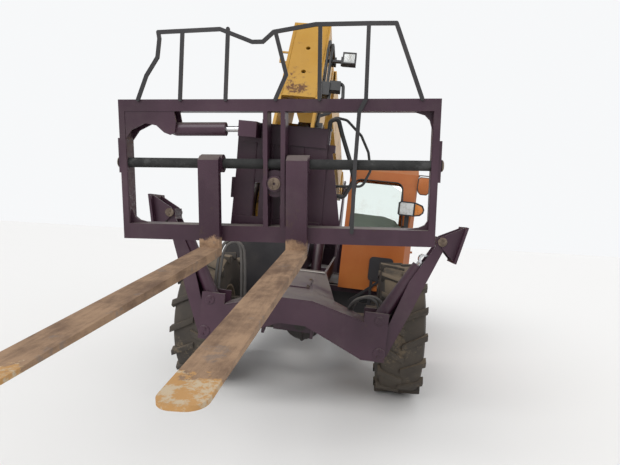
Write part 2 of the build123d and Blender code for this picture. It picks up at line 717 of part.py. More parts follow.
side_eye_x, side_eye_z = turned_across(side_ram_eye, side_tilt)
clevis_x = carriage_boss[0] + side_eye_x
clevis_z = carriage_boss[1] + side_eye_z
clevis_half = 44
with BuildPart() as adapter:
    with BuildSketch(face_plane(adapter_face_y + adapter_plate)):
        with BuildLine():
            left = adapter_middle_x + adapter_width / 2
            right = adapter_middle_x - adapter_width / 2
            Polyline((right, -110), (left - 10, -110), (left - 20, 520), (right + 20, 520), (right, -110))
        make_face()
        with Locations((right + 148, 60)):
            Rectangle(32, 210, mode=Mode.SUBTRACT)
    extrude(amount=adapter_plate)
    for low, high in ((405, 515), (-104, -40)):
        with BuildSketch(face_plane(adapter_face_y)):
            with Locations((adapter_middle_x, (low + high) / 2)):
                Rectangle(adapter_width - 50, high - low)
        extrude(amount=12)
    with BuildSketch(face_plane(adapter_face_y + adapter_plate)):
        for x in (right + 12, left - 22):
            with Locations((x, 205)):
                Rectangle(20, 610)
    extrude(amount=-60)
    with BuildSketch(face_plane(adapter_face_y + adapter_plate - 2)):
        with Locations((right - 2, 120)):
            Rectangle(36, 124)
    extrude(amount=-50)
    for x in (head_width / 2 + 6, -head_width / 2 - 6 - adapter_ear):
        with BuildSketch(side_plane(x)):
            with BuildLine():
                Polyline((adapter_face_y + 10, -110), (adapter_face_y + 10, 500), (adapter_face_y + 90, 490),
                         (60, 80),
                         (80, 0), (50, -70), (0, -90), (adapter_face_y + 10, -110))
            make_face()
        extrude(amount=adapter_ear)
    with BuildSketch(face_plane(adapter_face_y + adapter_plate)):
        with BuildLine():
            Polyline((left - 20, 389), (left + 12, 389), (left + 104, -79), (left - 14, -79), (left - 20, 389))
        make_face()
    extrude(amount=14)
    with Locations((left + 4, adapter_face_y + adapter_plate + 18, 405)):
        Box(44, 50, 46)
    with BuildSketch(side_plane(0)):
        Circle(attachment_pin_radius)
    extrude(amount=head_width / 2 + 6 + adapter_ear + 12, both=True)
    for x in (42, -60):
        with BuildSketch(side_plane(x)):
            with BuildLine():
                y, z = tilt_lug
                Polyline((adapter_face_y + 10, z - 120), (adapter_face_y + 10, z + 120), (y - 20, z + 60),
                         (y + 55, z + 20),
                         (y + 50, z - 50), (adapter_face_y + 10, z - 120))
            make_face()
        extrude(amount=18)
    with BuildSketch(face_plane(adapter_face_y)):
        with Locations(carriage_boss):
            Circle(carriage_pin_radius)
    extrude(amount=150)
    clevis_front = -side_ram_y + lug_gap / 2 + lug_plate
    with BuildSketch(face_plane(adapter_face_y)):
        with Locations((clevis_x + clevis_half + 8, clevis_z)):
            Rectangle(16, 2 * clevis_half)
    extrude(amount=clevis_front)
    for reach in (-side_ram_y - lug_gap / 2 - lug_plate, -side_ram_y + lug_gap / 2):
        with BuildSketch(face_plane(adapter_face_y - reach)):
            with Locations((clevis_x + 8, clevis_z)):
                Rectangle(2 * clevis_half + 16, 2 * clevis_half)
        extrude(amount=lug_plate)
    for reach in (-side_ram_y - lug_gap / 2, -side_ram_y + lug_gap / 2 - 9):
        with BuildSketch(face_plane(adapter_face_y - reach)):
            with Locations((clevis_x, clevis_z)):
                Circle(side_pin_radius)
        extrude(amount=9)
write(adapter.part, "adapter", adapter_frame)

adapter_hose_runs = [
    # points, radius, bend
    ([(275, -108, 512), (275, -108, 570), (320, -110, 590), (352, -112, 500), (415, -115, 350),
      (452, -115, 232),
      (400, -112, 128), (292, -108, 128)], 13, 23),
    ([(275, -84, 512), (275, -84, 600), (373, -84, 585), (467, -84, 502), (520, -84, 408), (545, -84, 300),
      (505, -84, 200),
      (292, -84, 180)], 8, 40),
]
with BuildPart() as adapter_hoses:
    for points, radius, bend in adapter_hose_runs:
        add(hose(points, radius, bend))
    with Locations((275, -96, 518)):
        Box(30, 56, 14)
    with Locations((291, -96, 154)):
        Box(10, 52, 90)
write(adapter_hoses.part, "adapter_hoses", adapter_frame)

with BuildPart() as carriage:
    half = carriage_width / 2
    top_bar = 66
    low_bar = 92
    depth = carriage_rear_y - carriage_front_y
    with BuildSketch(face_plane(carriage_rear_y)):
        with Locations((0, carriage_top - top_bar / 2)):
            Rectangle(carriage_width, top_bar)
        with Locations((0, carriage_bottom + low_bar / 2)):
            Rectangle(carriage_width, low_bar)
        for x in (-half + 18, half - 18):
            with Locations((x, (carriage_top + carriage_bottom) / 2)):
                Rectangle(36, carriage_top - carriage_bottom)
    extrude(amount=depth)
    for x in (-50, 50):
        with BuildSketch(side_plane(x - 12)):
            with BuildLine():
                Polyline((-30, -200), (-30, 430), (carriage_front_y, 430), (carriage_front_y, -300),
                         (carriage_rear_y, -300),
                         (-30, -200))
            make_face()
        extrude(amount=24)
    with BuildSketch(face_plane(-30)):
        Circle(78)
    extrude(amount=90)
    with BuildSketch(face_plane(0)):
        Circle(carriage_pin_radius + boom_fit)
    extrude(amount=300, mode=Mode.SUBTRACT)
    for y in (side_ram_y + lug_gap / 2 + lug_plate, side_ram_y - lug_gap / 2):
        with BuildSketch(face_plane(y)):
            with BuildLine():
                Polyline((-half + 30, carriage_top - 20), (-590, carriage_top - 20), (-572, 345), (-580, 285),
                         (-610, 272),
                         (-645, 285), (-690, 325), (-760, 338), (-840, 300), (-half + 30, 240),
                         (-half + 30, carriage_top - 20))
            make_face()
        extrude(amount=lug_plate)
    with BuildSketch(face_plane(side_ram_y + lug_gap / 2)):
        with Locations(side_ram_base):
            Circle(side_pin_radius)
    extrude(amount=lug_gap)
    gussets = [
        # corner across and up, how far it reaches across and up
        (-half + 36, carriage_bottom + low_bar, 110, 85),
        (half - 36, carriage_bottom + low_bar, -124, 56),
        (half - 36, carriage_top - top_bar, -104, -102),
    ]
    for x, z, across, up in gussets:
        with BuildSketch(face_plane(carriage_front_y + 60)):
            with BuildLine():
                Polyline((x - across * 0.1, z - up * 0.1), (x + across, z - up * 0.1), (x + across, z),
                         (x + across * 0.42, z + up * 0.18),
                         (x + across * 0.16, z + up * 0.45), (x, z + up), (x - across * 0.1, z + up),
                         (x - across * 0.1, z - up * 0.1))
            make_face()
        extrude(amount=20)
    for x, low, high in ((-half - 15, 52, 253), (half, 20, 247)):
        with BuildSketch(side_plane(x)):
            with Locations(((carriage_front_y + carriage_rear_y) / 2, (low + high) / 2)):
                Rectangle(depth - 16, high - low)
        extrude(amount=15)
    with BuildSketch(side_plane(0)):
        with Locations(shaft_at):
            Circle(shaft_radius)
    extrude(amount=half + 15, both=True, mode=Mode.SUBTRACT)
write(carriage.part, "carriage", carriage_frame)

with BuildPart() as fork_shaft:
    with BuildSketch(side_plane(0)):
        with Locations(shaft_at):
            Circle(shaft_radius)
    extrude(amount=carriage_width / 2 + 22, both=True)
write(fork_shaft.part, "fork_shaft", carriage_frame)

fork_back_y = carriage_front_y - 5
fork_heel_z = carriage_bottom - 81
for name, x in (("right", left_fork_x), ("left", right_fork_x)):
    with BuildPart() as fork:
        with BuildSketch(side_plane(x - fork_width / 2)):
            with BuildLine():
                tip_y = fork_back_y - fork_thickness - fork_length
                Polyline((fork_back_y, shaft_at[1] - 10), (fork_back_y, fork_heel_z + 20),
                         (fork_back_y - 20, fork_heel_z),
                         (fork_back_y - 400, fork_heel_z), (tip_y, fork_heel_z + 38), (tip_y, fork_heel_z + 50),
                         (fork_back_y - fork_thickness, fork_heel_z + 50),
                         (fork_back_y - fork_thickness, shaft_at[1] + 20),
                         (fork_back_y - 10, shaft_at[1] + 45), (fork_back_y + 20, shaft_at[1] + 20),
                         (fork_back_y, shaft_at[1] - 10))
            make_face()
        extrude(amount=fork_width)
        fillet(fork.edges().filter_by(Axis.Z).group_by(Axis.Y)[0], fork_tip_radius)
        with BuildSketch(side_plane(x - fork_sleeve / 2)):
            with Locations(shaft_at):
                Circle(52)
        extrude(amount=fork_sleeve)
        with BuildSketch(side_plane(x - fork_sleeve)):
            with Locations(shaft_at):
                Circle(shaft_radius + shaft_fit)
        extrude(amount=2 * fork_sleeve, mode=Mode.SUBTRACT)
    write(fork.part, f"fork_{name}", carriage_frame)

side_closed = 372
side_sizes = {"closed": side_closed, "barrel": 39, "wall": 8, "rod": 17, "eye": 30, "base_width": 80,
              "eye_width": 60,
              "pin": side_pin_radius, "eye_bore": side_pin_radius, "play": 0, "head_gap": 22}
side_barrel, side_rod = ram_pieces((side_ram_base[0], side_ram_y, side_ram_base[1]),
                                   (side_ram_eye[0], side_ram_y, side_ram_eye[1]), (0, 1, 0), side_sizes)
write(side_barrel, "side_tilt_cylinder", carriage_frame)
write(side_rod, "side_tilt_rod", carriage_frame)

# Load backrest: bent flat bars above the carriage
bar = 22
strip = 10
backrest_bars = [
    # points across and up, seen from the front
    ((-790, 470), (-735, 600), (-665, 700), (-650, 800), (-655, 835), (-300, 845), (-120, 775), (-60, 775),
     (0, 825),
     (230, 860), (520, 860), (660, 858), (675, 820), (810, 470)),
    ((-540, 470), (-515, 835)),
    ((-275, 470), (-255, 845)),
    ((10, 470), (70, 600), (10, 826)),
    ((255, 470), (255, 860)),
    ((515, 860), (510, 470), (475, 400), (459, 110), (449, carriage_bottom + 75)),
]
backrest_y = carriage_front_y
with BuildPart() as load_backrest:
    for points in backrest_bars:
        for start, end in zip(points, points[1:]):
            with BuildSketch(face_plane(backrest_y)):
                with Locations(along(start, end)):
                    SlotCenterToCenter(math.dist(start, end), bar)
            extrude(amount=strip)
write(load_backrest.part, "load_backrest", carriage_frame)

# Cab: a hollow shell with its windows cut, and the door in its left side
cab_profile = [(cab_front_y, cab_floor_z), (cab_front_y, 1480), (860, 2280), (930, cab_roof_z),
               (2080, cab_roof_z),
               (cab_rear_y, 2270), (cab_rear_y, cab_floor_z)]
cab_hollow = [(cab_front_y + cab_wall, cab_floor_z + cab_wall), (cab_front_y + cab_wall, 1476), (896, 2260),
              (945, cab_roof_z - cab_wall), (2066, cab_roof_z - cab_wall), (cab_rear_y - cab_wall, 2254),
              (cab_rear_y - cab_wall, cab_floor_z + cab_wall)]
corner_x, corner_y = cab_corner
cab_plan = [(cab_inner_x, cab_front_y), (cab_outer_x - corner_x, cab_front_y),
            (cab_outer_x, cab_front_y + corner_y),
            (cab_outer_x, cab_rear_y), (cab_inner_x, cab_rear_y)]
room_front_y = cab_front_y + cab_wall
room_outer_x = cab_outer_x - cab_wall
room_plan = [(cab_inner_x + cab_wall, room_front_y), (cab_outer_x - corner_x - 20, room_front_y),
             (room_outer_x, cab_front_y + corner_y + 7), (room_outer_x, cab_rear_y - cab_wall),
             (cab_inner_x + cab_wall, cab_rear_y - cab_wall)]


def cab_block(profile, plan):
    """What a side profile and a plan have in common."""
    with BuildPart() as block:
        with BuildSketch(side_plane(cab_inner_x)):
            with BuildLine():
                Polyline(*profile, profile[0])
            make_face()
        extrude(amount=cab_outer_x - cab_inner_x)
        with BuildSketch(Plane.XY.offset(cab_floor_z)):
            with BuildLine():
                Polyline(*plan, plan[0])
            make_face()
        extrude(amount=cab_roof_z - cab_floor_z, mode=Mode.INTERSECT)
    return block.part


with BuildPart() as cab_shell:
    add(cab_block(cab_profile, cab_plan))
    add(cab_block(cab_hollow, room_plan), mode=Mode.SUBTRACT)
    cab_middle_x = (cab_inner_x + cab_outer_x) / 2
    window_width = cab_outer_x - cab_inner_x - 2 * 70
    with BuildSketch(face_plane(cab_rear_y + 50)):
        with Locations((cab_middle_x, 1850)):
            RectangleRounded(window_width, 760, 60)
    extrude(amount=110, mode=Mode.SUBTRACT)
    with BuildSketch(face_plane(cab_front_y + 190)) as windscreen:
        with BuildLine():
            Polyline((345, 1500), (352, 2170), (908, 2170), (952, 1500), (345, 1500))
        make_face()
        fillet(windscreen.vertices(), 78)
    extrude(amount=240, mode=Mode.SUBTRACT)
    side_windows = [
        # plane across, outline along and up
        (cab_inner_x - 10, [(900, 1480), (1000, 2220), (cab_rear_y - 120, 2220), (cab_rear_y - 70, 1480)]),
        (cab_outer_x - cab_wall - 5, [(door_rear_y + 80, 1480), (door_rear_y + 80, 2220),
                                      (cab_rear_y - 120, 2220),
                                      (cab_rear_y - 70, 1480)]),
        (cab_outer_x - cab_wall - 5, [(door_front_y, 960), (door_front_y, 1500), (door_front_y + 90, 2250),
                                      (door_rear_y, 2250), (door_rear_y, 960)]),
    ]
    for x, outline in side_windows:
        with BuildSketch(side_plane(x)):
            with BuildLine():
                Polyline(*outline, outline[0])
            make_face()
        extrude(amount=cab_wall + 20, mode=Mode.SUBTRACT)
    for z in door_hinges_z:
        with BuildSketch(Plane.XY.offset(z + hinge_height / 2 + 1)):
            with Locations((door_hinge_x, door_rear_y)):
                Circle(hinge_radius)
            with Locations((door_hinge_x - 10, door_rear_y + 20)):
                Rectangle(20, 24)
        extrude(amount=hinge_height)
write(cab_shell.part, "cab_shell", chassis_frame)

with BuildPart() as cab_door:
    with BuildSketch(side_plane(cab_outer_x - cab_wall)):
        with BuildLine():
            gap = door_gap
            Polyline((door_front_y + gap, 960 + gap), (door_front_y + gap, 1500),
                     (door_front_y + 90 + gap, 2250 - gap),
                     (door_rear_y - gap, 2250 - gap), (door_rear_y - gap, 960 + gap),
                     (door_front_y + gap, 960 + gap))
        make_face()
        with BuildLine():
            Polyline((door_front_y + 60, 1420), (door_front_y + 60, 1510), (door_front_y + 140, 2190),
                     (door_rear_y - 60, 2190),
                     (door_rear_y - 60, 1420), (door_front_y + 60, 1420))
        make_face(mode=Mode.SUBTRACT)
    extrude(amount=cab_wall)
    for z in door_hinges_z:
        with BuildSketch(Plane.XY.offset(z - hinge_height / 2)):
            with Locations((door_hinge_x, door_rear_y)):
                Circle(hinge_radius)
            with Locations((door_hinge_x - 12, door_rear_y - 22)):
                Rectangle(24, 30)
        extrude(amount=hinge_height)
    with Locations((cab_outer_x + 12, door_front_y + 70, 1380)):
        Box(28, 90, 22)
write(cab_door.part, "cab_door", chassis_frame)

# Inside the cab
back_y = cab_rear_y - 120
with BuildPart() as seat:
    with BuildSketch(side_plane(cab_middle_x - 230)):
        with BuildLine():
            Polyline((back_y - 640, 1250), (back_y - 640, 1370), (back_y - 500, 1350), (back_y - 180, 1330),
                     (back_y - 125, 1760), (back_y - 25, 1760), (back_y - 20, 1300), (back_y - 100, 1230),
                     (back_y - 640, 1250))
        make_face()
    extrude(amount=460)
    with BuildSketch(Plane.XY.offset(cab_floor_z + cab_wall + 0.2)):
        with Locations((cab_middle_x, back_y - 360)):
            Rectangle(360, 380)
    extrude(amount=330)
write(seat.part, "seat", chassis_frame)

wheel_centre = (cab_middle_x, 1110, 1650)
column_rise = 10.3
steer_plane = Plane(origin=wheel_centre, x_dir=(1, 0, 0), z_dir=(0, 0.55, 0.83))
with BuildPart() as dashboard:
    with BuildSketch(side_plane(cab_inner_x + cab_wall + 0.3)):
        with BuildLine():
            y = room_front_y + 0.3
            Polyline((y, 1000), (y, 1474), (y + 52, 1770), (y + 125, 1770), (y + 150, 1620), (y + 240, 1580),
                     (y + 250, 1500),
                     (y + 120, 1400), (y + 60, 1000), (y, 1000))
        make_face()
    extrude(amount=room_outer_x - cab_inner_x - cab_wall - 70)
    low_x, high_x = cab_inner_x + cab_wall + 0.3, room_outer_x - 70
    with BuildSketch(face_plane(y + 300)):
        with BuildLine():
            Polyline((low_x, 1000), (low_x, 1720), (low_x + 60, 1770), (high_x - 230, 1762),
                     (high_x - 110, 1728), (high_x - 40, 1660),
                     (high_x, 1560), (high_x, 1000), (low_x, 1000))
        make_face()
    extrude(amount=400, mode=Mode.INTERSECT)
    with BuildSketch(steer_plane.offset(-column_rise)):
        Circle(24)
    extrude(amount=-210)
write(dashboard.part, "dashboard", chassis_frame)

with BuildPart() as steering_wheel:
    with BuildSketch(Plane(origin=wheel_centre, x_dir=(0, 0.83, -0.55), z_dir=(1, 0, 0))):
        with Locations((185, 0)):
            Circle(15)
    revolve(axis=Axis(wheel_centre, (0, 0.55, 0.83)))
    with BuildSketch(steer_plane):
        Rectangle(360, 26)
        Circle(45)
    extrude(amount=10, both=True)
write(steering_wheel.part, "steering_wheel", chassis_frame)

# On the cab's outside: headlight on its post, mirror on its wire arm, guard plate with bars, and the step
with BuildPart() as headlight:
    with BuildSketch(face_plane(650)):
        with BuildLine():
            Polyline((867, 1812), (867, 1938), (890, 1955), (1050, 1952), (1128, 1925), (1148, 1880),
                     (1140, 1840), (1105, 1808),
                     (1040, 1796), (885, 1796), (867, 1812))
        make_face()
    extrude(amount=90)
    lens_pockets = [
        [(879, 1818), (879, 1932), (895, 1943), (1030, 1941), (1030, 1808), (890, 1808)],
        [(1044, 1810), (1044, 1940), (1118, 1914), (1135, 1878), (1129, 1846), (1100, 1819)],
    ]
    for outline in lens_pockets:
        with BuildSketch(face_plane(574)):
            with BuildLine():
                Polyline(*outline, outline[0])
            make_face()
        extrude(amount=20, mode=Mode.SUBTRACT)
    foot_low_z, foot_high_z = 1653, 1679
    pillar_slope = (cab_profile[2][0] - cab_profile[1][0]) / (cab_profile[2][1] - cab_profile[1][1])
    foot_ends = [cab_front_y + (z - cab_profile[1][1]) * pillar_slope for z in (foot_low_z, foot_high_z)]
    with BuildSketch(Plane.YZ.offset(949)):
        with BuildLine():
            Polyline((602, foot_low_z), (foot_ends[0], foot_low_z), (foot_ends[1], foot_high_z),
                     (642, foot_high_z),
                     (642, 1803), (602, 1803), (602, foot_low_z))
        make_face()
    extrude(amount=46)
write(headlight.part, "headlight", chassis_frame)

with BuildPart() as mirror_part:
    with BuildSketch(face_plane(820)):
        with BuildLine():
            Polyline((1066, 2130), (1072, 2240), (1095, 2258), (1190, 2258), (1205, 2240), (1205, 2080),
                     (1180, 2055), (1110, 2055),
                     (1080, 2085), (1066, 2130))
        make_face()
    extrude(amount=18)
    add(hose([(1092, 920, 2276), (1092, 812, 2276), (1216, 812, 2276), (1216, 812, 2200), (1196, 812, 2200)],
             6, 14))
    with Locations((1087.3, 920, 2276)):
        Box(14, 46, 26)
write(mirror_part.part, "cab_mirror", chassis_frame)

guard_bars = [
    # ends across and up, width
    ((430, 754), (793, 1053), 26),
    ((662, 739), (662, 1036), 30),
    ((551, 738), (737, 738), 24),
]
with BuildPart() as cab_guard:
    with BuildSketch(face_plane(cab_front_y - 0.3)):
        with Locations((755, 1154)):
            RectangleRounded(272, 281, 45)
    extrude(amount=12)
    for start, end, width in guard_bars:
        with BuildSketch(face_plane(cab_front_y - 0.3)):
            with Locations(along(start, end)):
                SlotCenterToCenter(math.dist(start, end), width)
        extrude(amount=20)
write(cab_guard.part, "cab_guard", chassis_frame)

step_top_z = cab_floor_z - 0.3
with BuildPart() as cab_step:
    for y in (1120, 1420):
        with Locations((1015, y, (step_top_z + 480) / 2)):
            Box(110, 8, step_top_z - 480)
    for z in (492, 690):
        with Locations((1015, 1270, z)):
            Box(110, 300, 24)
write(cab_step.part, "cab_step", chassis_frame)

# Engine bay: engine block, the tray around it and the hood that opens upwards
with BuildPart() as engine_block:
    with BuildSketch(Plane.XY.offset(700)):
        with Locations((-650, (bay_front_y + bay_rear_y) / 2)):
            Rectangle(520, bay_rear_y - bay_front_y - 460)
    extrude(amount=540)
write(engine_block.part, "engine_block", chassis_frame)

with BuildPart() as engine_bay:
    bay_y = (bay_front_y + bay_rear_y) / 2
    bay_length = bay_rear_y - bay_front_y
    bay_inner_x = frame_x - rail_outer_x - 0.3
    bay_width = bay_outer_x + bay_inner_x
    with BuildSketch(Plane.XY.offset(bay_bottom_z)):
        with Locations((bay_inner_x - bay_width / 2, bay_y)):
            Rectangle(bay_width, bay_length)
    extrude(amount=bay_top_z - bay_bottom_z)
    with BuildSketch(Plane.XY.offset(bay_bottom_z + bay_sheet)):
        with Locations((bay_inner_x - bay_width / 2, bay_y)):
            Rectangle(bay_width - 2 * bay_sheet, bay_length - 2 * bay_sheet)
    extrude(amount=bay_top_z, mode=Mode.SUBTRACT)
    with BuildSketch(Plane.XY.offset(bay_bottom_z)):
        for y in (bay_y - 250, bay_y + 250):
            with Locations((-650, y)):
                Rectangle(420, 80)
    extrude(amount=700 - bay_bottom_z - 0.3)
    louvres = [(y, z) for y in (bay_y - 330, bay_y + 330) for z in range(900, 1200, 50)]
    with BuildSketch(side_plane(-bay_outer_x - 1)):
        for y, z in louvres:
            with Locations((y, z)):
                Rectangle(420, 18)
    extrude(amount=bay_sheet + 2, mode=Mode.SUBTRACT)
write(engine_bay.part, "engine_bay", chassis_frame)

with BuildPart() as engine_hood:
    hood_inner_x = bay_inner_x - 6
    hood_seat = 0.3
    hood_rise = 60
    hood_sheet = 8
    with BuildSketch(face_plane(bay_rear_y)):
        with BuildLine():
            Polyline((hood_inner_x, bay_top_z + hood_seat), (hood_inner_x, bay_top_z + hood_rise),
                     (-900, bay_top_z + hood_rise),
                     (-bay_outer_x, bay_top_z + hood_seat), (hood_inner_x, bay_top_z + hood_seat))
        make_face()
        with BuildLine():
            under_z = bay_top_z + hood_rise - hood_sheet
            Polyline((hood_inner_x - hood_sheet, bay_top_z + hood_seat), (hood_inner_x - hood_sheet, under_z),
                     (-897, under_z),
                     (-bay_outer_x + 22, bay_top_z + hood_seat),
                     (hood_inner_x - hood_sheet, bay_top_z + hood_seat))
        make_face(mode=Mode.SUBTRACT)
    extrude(amount=bay_length)
    for y in (bay_y - 450, bay_y + 350):
        with BuildSketch(face_plane(y + 100)):
            with Locations((hood_inner_x, bay_top_z + 30)):
                Circle(9)
        extrude(amount=100)
write(engine_hood.part, "engine_hood", chassis_frame)

# Counterweight and tanks
rear_face_y = frame_rear_y + 20
hitch_y = frame_rear_y + 340
hitch_radius = 20.5
hitch_plate = 22
hitch_plates_z = (620, 720)
with BuildPart() as counterweight:
    with BuildSketch(Plane.XY.offset(560)):
        with BuildLine():
            Polyline((-950, rear_face_y), (950, rear_face_y), (950, rear_face_y + 110),
                     (860, rear_face_y + 240),
                     (-860, rear_face_y + 240), (-950, rear_face_y + 110), (-950, rear_face_y))
        make_face()
    extrude(amount=690)
    for z in hitch_plates_z:
        with BuildSketch(Plane.XY.offset(z)):
            with BuildLine():
                Polyline((-90, hitch_y - 90), (90, hitch_y - 90), (50, hitch_y + 45), (-50, hitch_y + 45),
                         (-90, hitch_y - 90))
            make_face()
            with Locations((0, hitch_y)):
                Circle(hitch_radius, mode=Mode.SUBTRACT)
        extrude(amount=hitch_plate)
    with BuildSketch(Plane.XY.offset(620)):
        with Locations((frame_x, frame_rear_y + 0.3 + 15)):
            Rectangle(2 * rail_outer_x, 30)
    extrude(amount=500)
write(counterweight.part, "counterweight", chassis_frame)

tank_outer_x = 700
with BuildPart() as fuel_tank:
    with BuildSketch(Plane.XY.offset(500)):
        with Locations(((frame_x + rail_outer_x + tank_outer_x) / 2, (bay_front_y + bay_rear_y) / 2)):
            Rectangle(tank_outer_x - frame_x - rail_outer_x - 0.6, 900)
    extrude(amount=cab_floor_z - 500 - 0.3)
write(fuel_tank.part, "fuel_tank", chassis_frame)
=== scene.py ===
# Telehandler: finishes, small fittings, floor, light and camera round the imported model
import bpy
import json
import math
from mathutils import Matrix, Vector


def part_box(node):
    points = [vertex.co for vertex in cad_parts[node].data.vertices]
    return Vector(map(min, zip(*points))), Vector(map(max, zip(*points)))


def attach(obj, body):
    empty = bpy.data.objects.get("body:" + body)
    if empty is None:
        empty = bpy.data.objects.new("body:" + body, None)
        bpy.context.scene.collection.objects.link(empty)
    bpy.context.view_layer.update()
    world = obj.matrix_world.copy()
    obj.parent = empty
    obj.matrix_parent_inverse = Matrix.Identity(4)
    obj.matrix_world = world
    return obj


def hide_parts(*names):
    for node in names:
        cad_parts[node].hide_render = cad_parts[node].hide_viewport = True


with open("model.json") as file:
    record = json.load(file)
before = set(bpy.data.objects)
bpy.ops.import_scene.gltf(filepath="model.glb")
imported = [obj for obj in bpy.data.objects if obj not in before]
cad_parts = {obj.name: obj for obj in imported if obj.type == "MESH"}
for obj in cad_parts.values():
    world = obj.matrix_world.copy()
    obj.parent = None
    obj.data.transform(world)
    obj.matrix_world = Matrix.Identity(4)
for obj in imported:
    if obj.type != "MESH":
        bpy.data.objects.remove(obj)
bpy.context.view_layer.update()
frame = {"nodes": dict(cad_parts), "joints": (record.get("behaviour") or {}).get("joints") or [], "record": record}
nodes = frame["nodes"]
joints = {joint["name"]: joint for joint in frame["joints"]}
bpy.ops.object.select_all(action="DESELECT")
print("frame loaded:", len(nodes), "nodes")


# Places: each body's own axes, x to the machine's left, y to its rear and z up
def axisOf(joint):
    return Vector(joints[joint]["axis"]).normalized()


def frameFrom(across, ahead, joint, place=(0, 0, 0)):
    turned = Matrix((across, ahead, across.cross(ahead))).transposed().to_4x4()
    return Matrix.Translation(joints[joint]["pos_m"]) @ turned @ Matrix.Translation(-Vector(place))


chassisUp = axisOf("cab_door_hinge")
chassisAhead = axisOf("stabiliser_left_lower")
carriageAhead = -axisOf("carriage_side_tilt")
chassisFrame = frameFrom(chassisAhead.cross(chassisUp), chassisAhead, "boom_lift", (-0.06, 3.3, 2.15))
boomFrame = frameFrom(-axisOf("boom_lift"), -axisOf("boom_extend"), "boom_lift")
adapterFrame = frameFrom(axisOf("attachment_tilt"), carriageAhead, "attachment_tilt")
carriageFrame = frameFrom(axisOf("fork_left_slide"), carriageAhead, "carriage_side_tilt")


def middleOf(node):
    low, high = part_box(node)
    return (Vector(low) + Vector(high)) / 2


# The point under the front axle's middle, from which the camera was measured
axleMiddle = (middleOf("tyre_front_left") + middleOf("tyre_front_right")) / 2
origin = Vector((axleMiddle.x, axleMiddle.y, 0))


# Shader groups
def newGroup(name, colours, amounts):
    # takes colours and amounts, gives a surface's colour, roughness and height
    group = bpy.data.node_groups.new(name, "ShaderNodeTree")
    sockets = [(label, "INPUT", "Color") for label in colours]
    sockets += [(label, "INPUT", "Float") for label in amounts]
    sockets += [("Color", "OUTPUT", "Color"), ("Roughness", "OUTPUT", "Float"), ("Height", "OUTPUT", "Float")]
    for label, way, kind in sockets:
        group.interface.new_socket(name=label, in_out=way, socket_type="NodeSocket" + kind)
    return group, group.nodes.new("NodeGroupInput").outputs, group.nodes.new("NodeGroupOutput")


def putIn(tree, node, inputs):
    for key, value in inputs.items():
        if isinstance(value, bpy.types.NodeSocket):
            tree.links.new(value, node.inputs[key])
        else:
            node.inputs[key].default_value = value


def addNode(tree, kind, inputs=None, **settings):
    node = tree.nodes.new("ShaderNode" + kind)
    for key, value in settings.items():
        setattr(node, key, value)
    putIn(tree, node, inputs or {})
    return node


def mixColour(tree, factor, first, second):
    return addNode(tree, "Mix", {0: factor, 6: first, 7: second}, data_type="RGBA").outputs[2]


def maths(tree, operation, first, second=0.0):
    return addNode(tree, "Math", {0: first, 1: second}, operation=operation).outputs[0]


def pointCoords(tree):
    return addNode(tree, "TexCoord").outputs["Object"]


def band(tree, value, low, high):
    # 0 below low, 1 above high, smooth between
    node = addNode(tree, "MapRange", {"Value": value, "From Min": low, "From Max": high},
                   interpolation_type="SMOOTHSTEP")
    return node.outputs["Result"]


def noiseAt(tree, coords, scale, detail=4.0, rough=0.55, stretch=(1, 1, 1)):
    moved = addNode(tree, "Mapping", {"Vector": coords, "Scale": stretch})
    return addNode(tree, "TexNoise", {"Vector": moved.outputs[0], "Scale": scale, "Detail": detail,
                                      "Roughness": rough}).outputs["Fac"]


def makeWornPaint():
    group, put, end = newGroup("wornPaint", ("Paint", "Faded", "Bare", "Dust"), ("Chips", "Dusty", "Gloss"))
    coords = pointCoords(group)
    broad = noiseAt(group, coords, 1.7, 5)
    colour = mixColour(group, band(group, broad, 0.35, 0.75), put["Paint"], put["Faded"])
    streaks = noiseAt(group, coords, 9, 4, 0.6, (1, 1, 0.18))
    colour = mixColour(group, maths(group, "MULTIPLY", band(group, streaks, 0.5, 0.75), 0.35), colour,
                       put["Faded"])
    # chips: large patches broken up by fine grain, with a stained edge round them
    patch = noiseAt(group, coords, 4.2, 6, 0.62)
    grain = noiseAt(group, coords, 38, 5, 0.7)
    mixed = maths(group, "ADD", maths(group, "MULTIPLY", patch, 0.62), maths(group, "MULTIPLY", grain, 0.38))
    limit = maths(group, "SUBTRACT", 0.74, maths(group, "MULTIPLY", put["Chips"], 0.2))
    over = maths(group, "SUBTRACT", mixed, limit)
    stain = maths(group, "MULTIPLY", band(group, over, -0.05, 0.01), 0.45)
    colour = mixColour(group, stain, colour, put["Bare"])
    chips = band(group, over, 0.0, 0.02)
    colour = mixColour(group, chips, colour, put["Bare"])
    # dust lies on what faces up, and a thin film clings elsewhere
    normal = addNode(group, "NewGeometry").outputs["Normal"]
    upward = addNode(group, "SeparateXYZ", {"Vector": normal}).outputs["Z"]
    lying = maths(group, "MULTIPLY", band(group, upward, 0.3, 0.98), put["Dusty"])
    lying = maths(group, "MULTIPLY", lying, band(group, noiseAt(group, coords, 5, 6), 0.25, 0.6))
    film = maths(group, "MULTIPLY", band(group, noiseAt(group, coords, 2.6, 7, 0.65), 0.45, 0.8),
                 maths(group, "MULTIPLY", put["Dusty"], 0.22))
    dust = maths(group, "MAXIMUM", lying, film)
    colour = mixColour(group, dust, colour, put["Dust"])
    rough = maths(group, "ADD", put["Gloss"], maths(group, "MULTIPLY", maths(group, "ADD", dust, chips),
                                                    0.35))
    height = maths(group, "ADD", maths(group, "MULTIPLY", chips, -0.6), maths(group, "MULTIPLY", grain, 0.25))
    putIn(group, end, {"Color": colour, "Roughness": maths(group, "MINIMUM", rough, 0.95), "Height": height})
    return group


